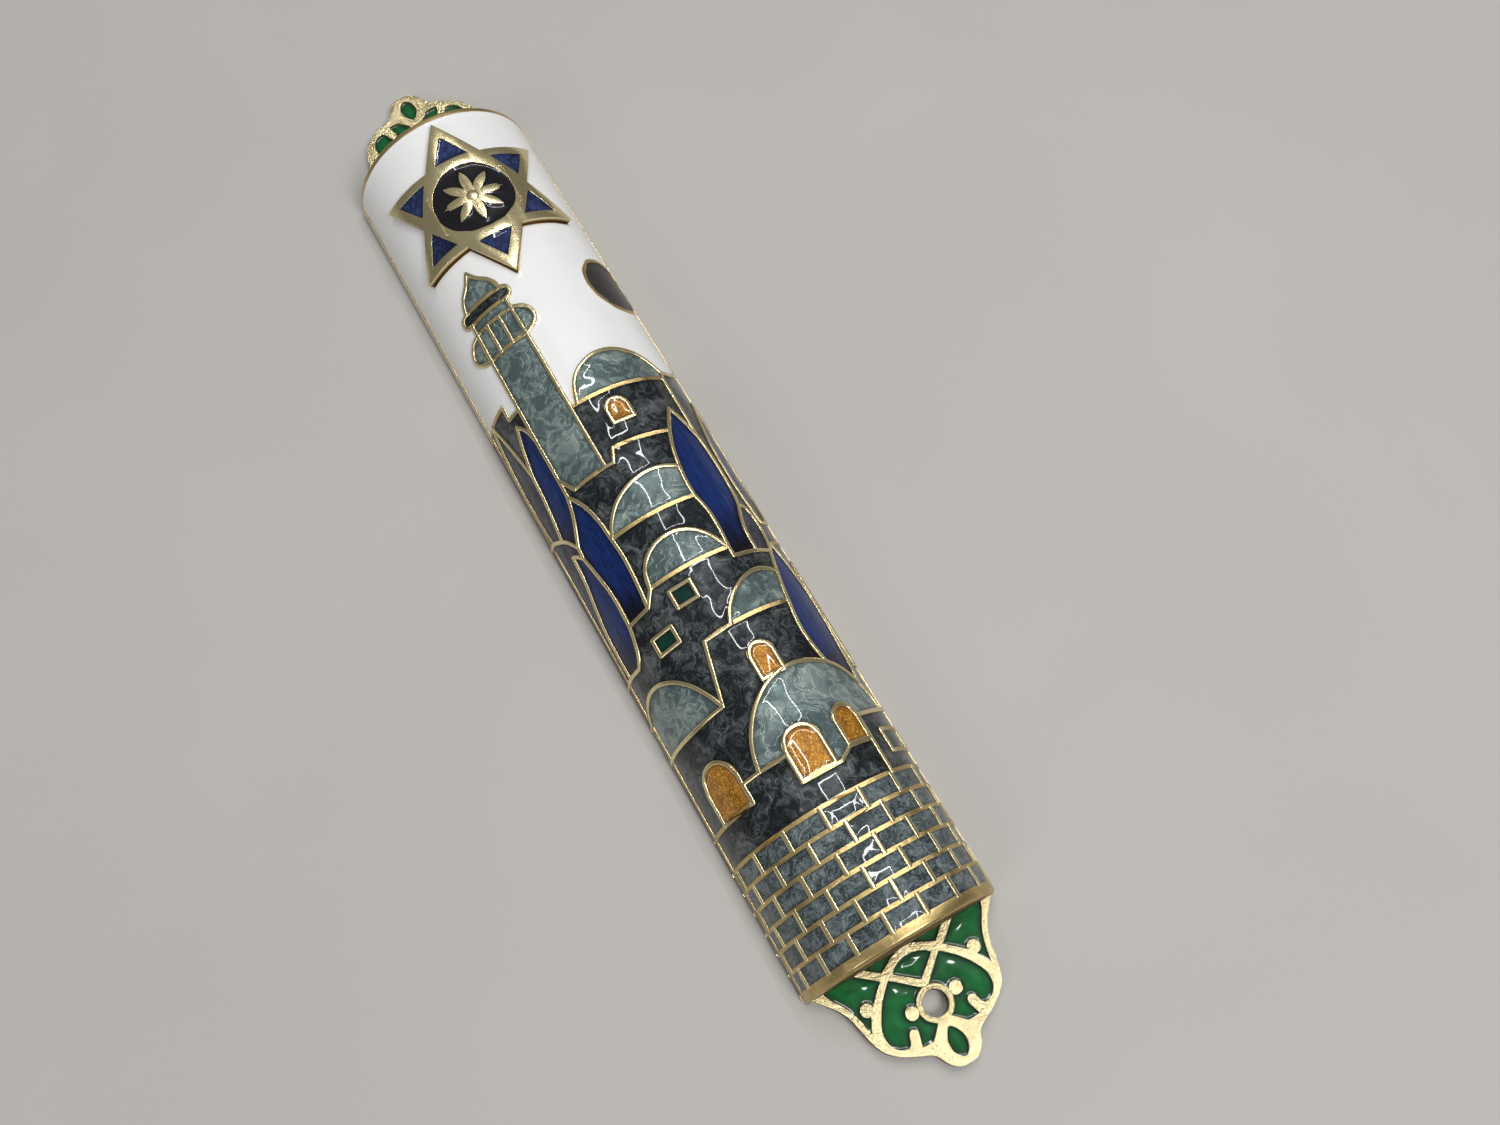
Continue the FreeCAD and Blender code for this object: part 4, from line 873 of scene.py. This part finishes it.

# Each pearly enamel gets painted shade at its wires, a quarter of its dark colour.
PALE = stirred("pale pearl", *SWIRLED["pale"])
SLATE = stirred("slate pearl", *SWIRLED["slate"], scale=0.38, edge_width=0.6, edge=0.85)
BRICK = stirred("brick pearl", *SWIRLED["brick"], scale=0.6, sparkle=0.85, light_share=0.4, edge_width=0.3)
GREY_BLUE = stirred("grey blue pearl", *SWIRLED["grey blue"], stretch=(1, 0.35, 1), coat=0.4)
STAR_BLUE = stirred("star blue pearl", *SWIRLED["star blue"], scale=0.4, light_share=0.5)
# The second colour of each plain enamel is its painted shade at the wires.
WHITE = plain_enamel("white glaze", paint(0.85, 0.85, 0.85), paint(0.6, 0.59, 0.57), paint(0.88, 0.88, 0.87),
                     edge=0.35, edge_width=0.3, mottle=0.15)
GREEN = plain_enamel("clear green glaze", paint(0.0, 0.09, 0.016), paint(0.0, 0.006, 0.002),
                     paint(0.0, 0.17, 0.035), edge=0.97, edge_width=1.0)
EMERALD = plain_enamel("deep green glaze", paint(0.0, 0.012, 0.008), paint(0.0, 0.003, 0.002),
                       paint(0.0, 0.05, 0.033), mottle=0.6)
CHARCOAL = plain_enamel("charcoal glaze", paint(0.02, 0.016, 0.017), paint(0.01, 0.007, 0.006),
                        paint(0.028, 0.024, 0.025), edge_width=0.3, coat=0.15)
BLACK = plain_enamel("black glaze", paint(0.003, 0.003, 0.005), paint(0.001, 0.001, 0.001),
                     paint(0.008, 0.008, 0.012))
BLUE = cypress_blue()
AMBER = amber_glitter()
SKIN = parchment()

# ---------------------------------------------------------------- enamel sheets on the front
FRONT = [                    # piece, node, grid step, slot, material
    ("white_sky", "sky_enamel", 0.24, "white_enamel", WHITE),
    ("tower_pearl", "tower_enamel", 0.17, "pale_enamel", PALE),
    ("tower_band_pearl", "tower_band_enamel", 0.15, "slate_enamel", SLATE),
    ("dome_pearl", "dome_enamel", 0.17, "pale_enamel", PALE),
    ("wall_pearl", "wall_enamel", 0.18, "slate_enamel", SLATE),
    ("shrub_pearl", "shrub_enamel", 0.17, "grey_blue_enamel", GREY_BLUE),
    ("cypress_glaze", "cypress_enamel", 0.17, "deep_blue_enamel", BLUE),
    ("door_glitter", "door_enamel", 0.13, "amber_enamel", AMBER),
    ("window_glaze", "window_enamel", 0.13, "emerald_enamel", EMERALD),
    ("brick_pearl", "brick_enamel", 0.16, "brick_enamel", BRICK),
    ("moon_glaze", "moon_enamel", 0.17, "charcoal_enamel", CHARCOAL),
]
for piece, node, pitch, slot_name, material in FRONT:
    sheet = enamel_sheet(piece, node, unrolled, rolled, -FACE_DROP, pitch, -FACE_DROP, FRONT_CLIMB)
    finish_piece(sheet, "case", slot_name, material, node)

STAR_ENAMELS = [             # piece, node, slot, material
    ("star_point_glaze", "star_point_enamel", "star_blue_enamel", STAR_BLUE),
    ("medallion_glaze", "medallion_enamel", "black_enamel", BLACK),
]
STAR_LEVEL = STAR_FACE - RADIUS
for piece, node, slot_name, material in STAR_ENAMELS:
    sheet = enamel_sheet(piece, node, unrolled, rolled, STAR_LEVEL, 0.13, STAR_LEVEL - 0.06, 0.12)
    finish_piece(sheet, "case", slot_name, material, node)

for end in ("lower", "upper"):
    sheet = enamel_sheet(end + "_ear_glaze", end + "_ear_enamel", lifted, laid, EAR_FACE, 0.13,
                         EAR_FACE - 0.3, 0.14, 0.22)
    finish_piece(sheet, "plate", "green_enamel", GREEN, end + "_ear_enamel")

# ---------------------------------------------------------------- wires on the front
openings = [run for arch in ARCHES for run in arch_runs(*arch)]
openings += [run for square in SQUARES for run in box_runs(*square)]
trees = [run for tree in ISLAND_TREES for run in tree]
wires("skyline_wires", list(LINES.values()), material=WIRE_GOLD)
wires("opening_wires", openings, material=WIRE_GOLD)
wires("side_tree_wires", trees, material=WIRE_GOLD)
wires("mortar_courses", course_runs(), width=0.6, proud=0.1, material=WIRE_GOLD, capped=False)
wires("mortar_joints", joint_runs(), width=0.58, proud=0.096, material=WIRE_GOLD, capped=False)
wires("foot_band", [[(-PANEL_HALF, FOOT_LINE), (PANEL_HALF, FOOT_LINE)]], width=0.9, proud=0.1,
      material=WIRE_GOLD, capped=False)
wires("moon_wire", [ring_run(MOON, MOON_RADIUS)], width=0.25, proud=0.02, material=SHELL_GOLD)

# ---------------------------------------------------------------- metal
star = rounded_copy("star_relief", "star", 0.1)
finish_piece(star, "case", "star_metal", STAR_GOLD, "star")
flower = rounded_copy("medallion_rosette", "rosette", 0.08)
finish_piece(flower, "case", "star_metal", STAR_GOLD, "rosette")
bpy.ops.mesh.primitive_uv_sphere_add(segments=32, ring_count=16, radius=BOSS_RADIUS * MM)
boss = named("rosette_boss")
places = vertices(boss)
places[:, 2] = places[:, 2] * 0.3 + (STAR_TOP - 0.05) * MM
places[:, 1] += (STAR_MIDDLE[1] * MM - HALF_LENGTH * MM)
place(boss, places)
smooth(boss, 60)
finish_piece(boss, "case", "star_metal", STAR_GOLD)
star_corners = [(STAR_MIDDLE[0] + HEXAGON * math.cos(math.radians(60 * step + 30)),
                 STAR_MIDDLE[1] + HEXAGON * math.sin(math.radians(60 * step + 30))) for step in range(7)]
wires("star_inner_edge", [list(pair) for pair in zip(star_corners, star_corners[1:])], width=0.2, proud=0.07,
      lift=STAR_TOP - RADIUS, slot="star_metal", material=STAR_GOLD)
plate = rounded_copy("plate_with_ears", "back_plate", 0.17)
finish_piece(plate, "plate", "plate_metal", PLATE_GOLD, "back_plate")
finish_piece(eyelet_rims(), "plate", "plate_metal", PLATE_GOLD)
shell = rounded_copy("shell_metal", "shell", 0.05, 2)
finish_piece(shell, "case", "shell_metal", SHELL_GOLD, "shell")
for cad_slot in frame["nodes"]["scroll"].material_slots:
    cad_slot.material = SKIN

# ---------------------------------------------------------------- floor, light and camera
def make_floor():
    """A pale matt floor, faintly mottled."""
    bpy.ops.mesh.primitive_plane_add(size=3)
    floor = named("floor")
    material, tree, shader = new_material("pale floor")
    where = in_millimetres(tree)
    cloud = grain(tree, where, 0.02, 5.0, 0.4)
    fine = grain(tree, where, 1.2, 3.0)
    body = mixed(tree, cloud, paint(0.44, 0.425, 0.4), paint(0.5, 0.485, 0.46))
    body = mixed(tree, sums(tree, "MULTIPLY", fine, 0.12), body, paint(0.4, 0.385, 0.36))
    tree.links.new(body, shader.inputs["Base Color"])
    tree.links.new(bumped(tree, fine, 0.15, 0.05), shader.inputs["Normal"])
    shader.inputs["Roughness"].default_value = 0.6
    floor.data.materials.append(material)


def area_light(name, target, direction, distance, size, power, colour=(1, 1, 1)):
    """A rectangular lamp that faces the target."""
    lamp = bpy.data.lights.new(name, "AREA")
    lamp.shape = "RECTANGLE"
    lamp.size, lamp.size_y = size
    lamp.energy = power
    lamp.color = colour
    item = bpy.data.objects.new(name, lamp)
    bpy.context.scene.collection.objects.link(item)
    way = Vector(direction).normalized()
    item.location = Vector(target) + way * distance
    item.rotation_euler = way.to_track_quat("Z", "Y").to_euler()
    return item


def make_world():
    """A soft room: bright overhead, darker towards the horizon."""
    world = bpy.data.worlds.new("studio")
    world.use_nodes = True
    bpy.context.scene.world = world
    tree = world.node_tree
    back = tree.nodes["Background"]
    way = tree.nodes.new("ShaderNodeTexCoord").outputs["Generated"]
    up = put(tree, "ShaderNodeSeparateXYZ", {0: way}).outputs[2]
    sky = mixed(tree, ranged(tree, up, -0.1, 0.9), paint(0.12, 0.115, 0.11), paint(0.3, 0.3, 0.3))
    tree.links.new(sky, back.inputs["Color"])
    back.inputs["Strength"].default_value = 0.9


def make_camera():
    """The camera looks down on the lower end of the case from its left."""
    data = bpy.data.cameras.new("camera")
    data.lens = 33.985
    data.sensor_width = 36.0
    data.clip_start = 0.005
    item = bpy.data.objects.new("camera", data)
    item.location = (-0.020286, -0.062569, 0.151643)
    item.rotation_euler = [math.radians(turn) for turn in (21.3103, 0.5615, -29.6053)]
    bpy.context.scene.collection.objects.link(item)
    bpy.context.scene.camera = item


def lamp_frame(centre, width, length, bar, power):
    """Four long lamps round a rectangle overhead, facing down."""
    bars = [("left", -width / 2, 0, (bar, length)), ("right", width / 2, 0, (bar, length)),
            ("near", 0, -length / 2, (width, bar)), ("far", 0, length / 2, (width, bar))]
    for name, x, y, size in bars:
        area_light("lamp_bar_" + name, Vector(centre) + Vector((x, y, 0)), (0, 0, 1), 0.0, size, power)


make_floor()
make_world()
lamp_frame((0.3, 0.32, 1.0), 0.42, 0.46, 0.022, 1.2)
area_light("main_lamp", (0, 0, 0), (0.2, -0.55, 0.85), 1.1, (0.35, 0.35), 6.0)
area_light("side_lamp", (0, 0, 0), (-0.75, -0.35, 0.55), 1.2, (0.3, 0.3), 1.5)
make_camera()
bpy.context.scene.view_settings.view_transform = "Standard"
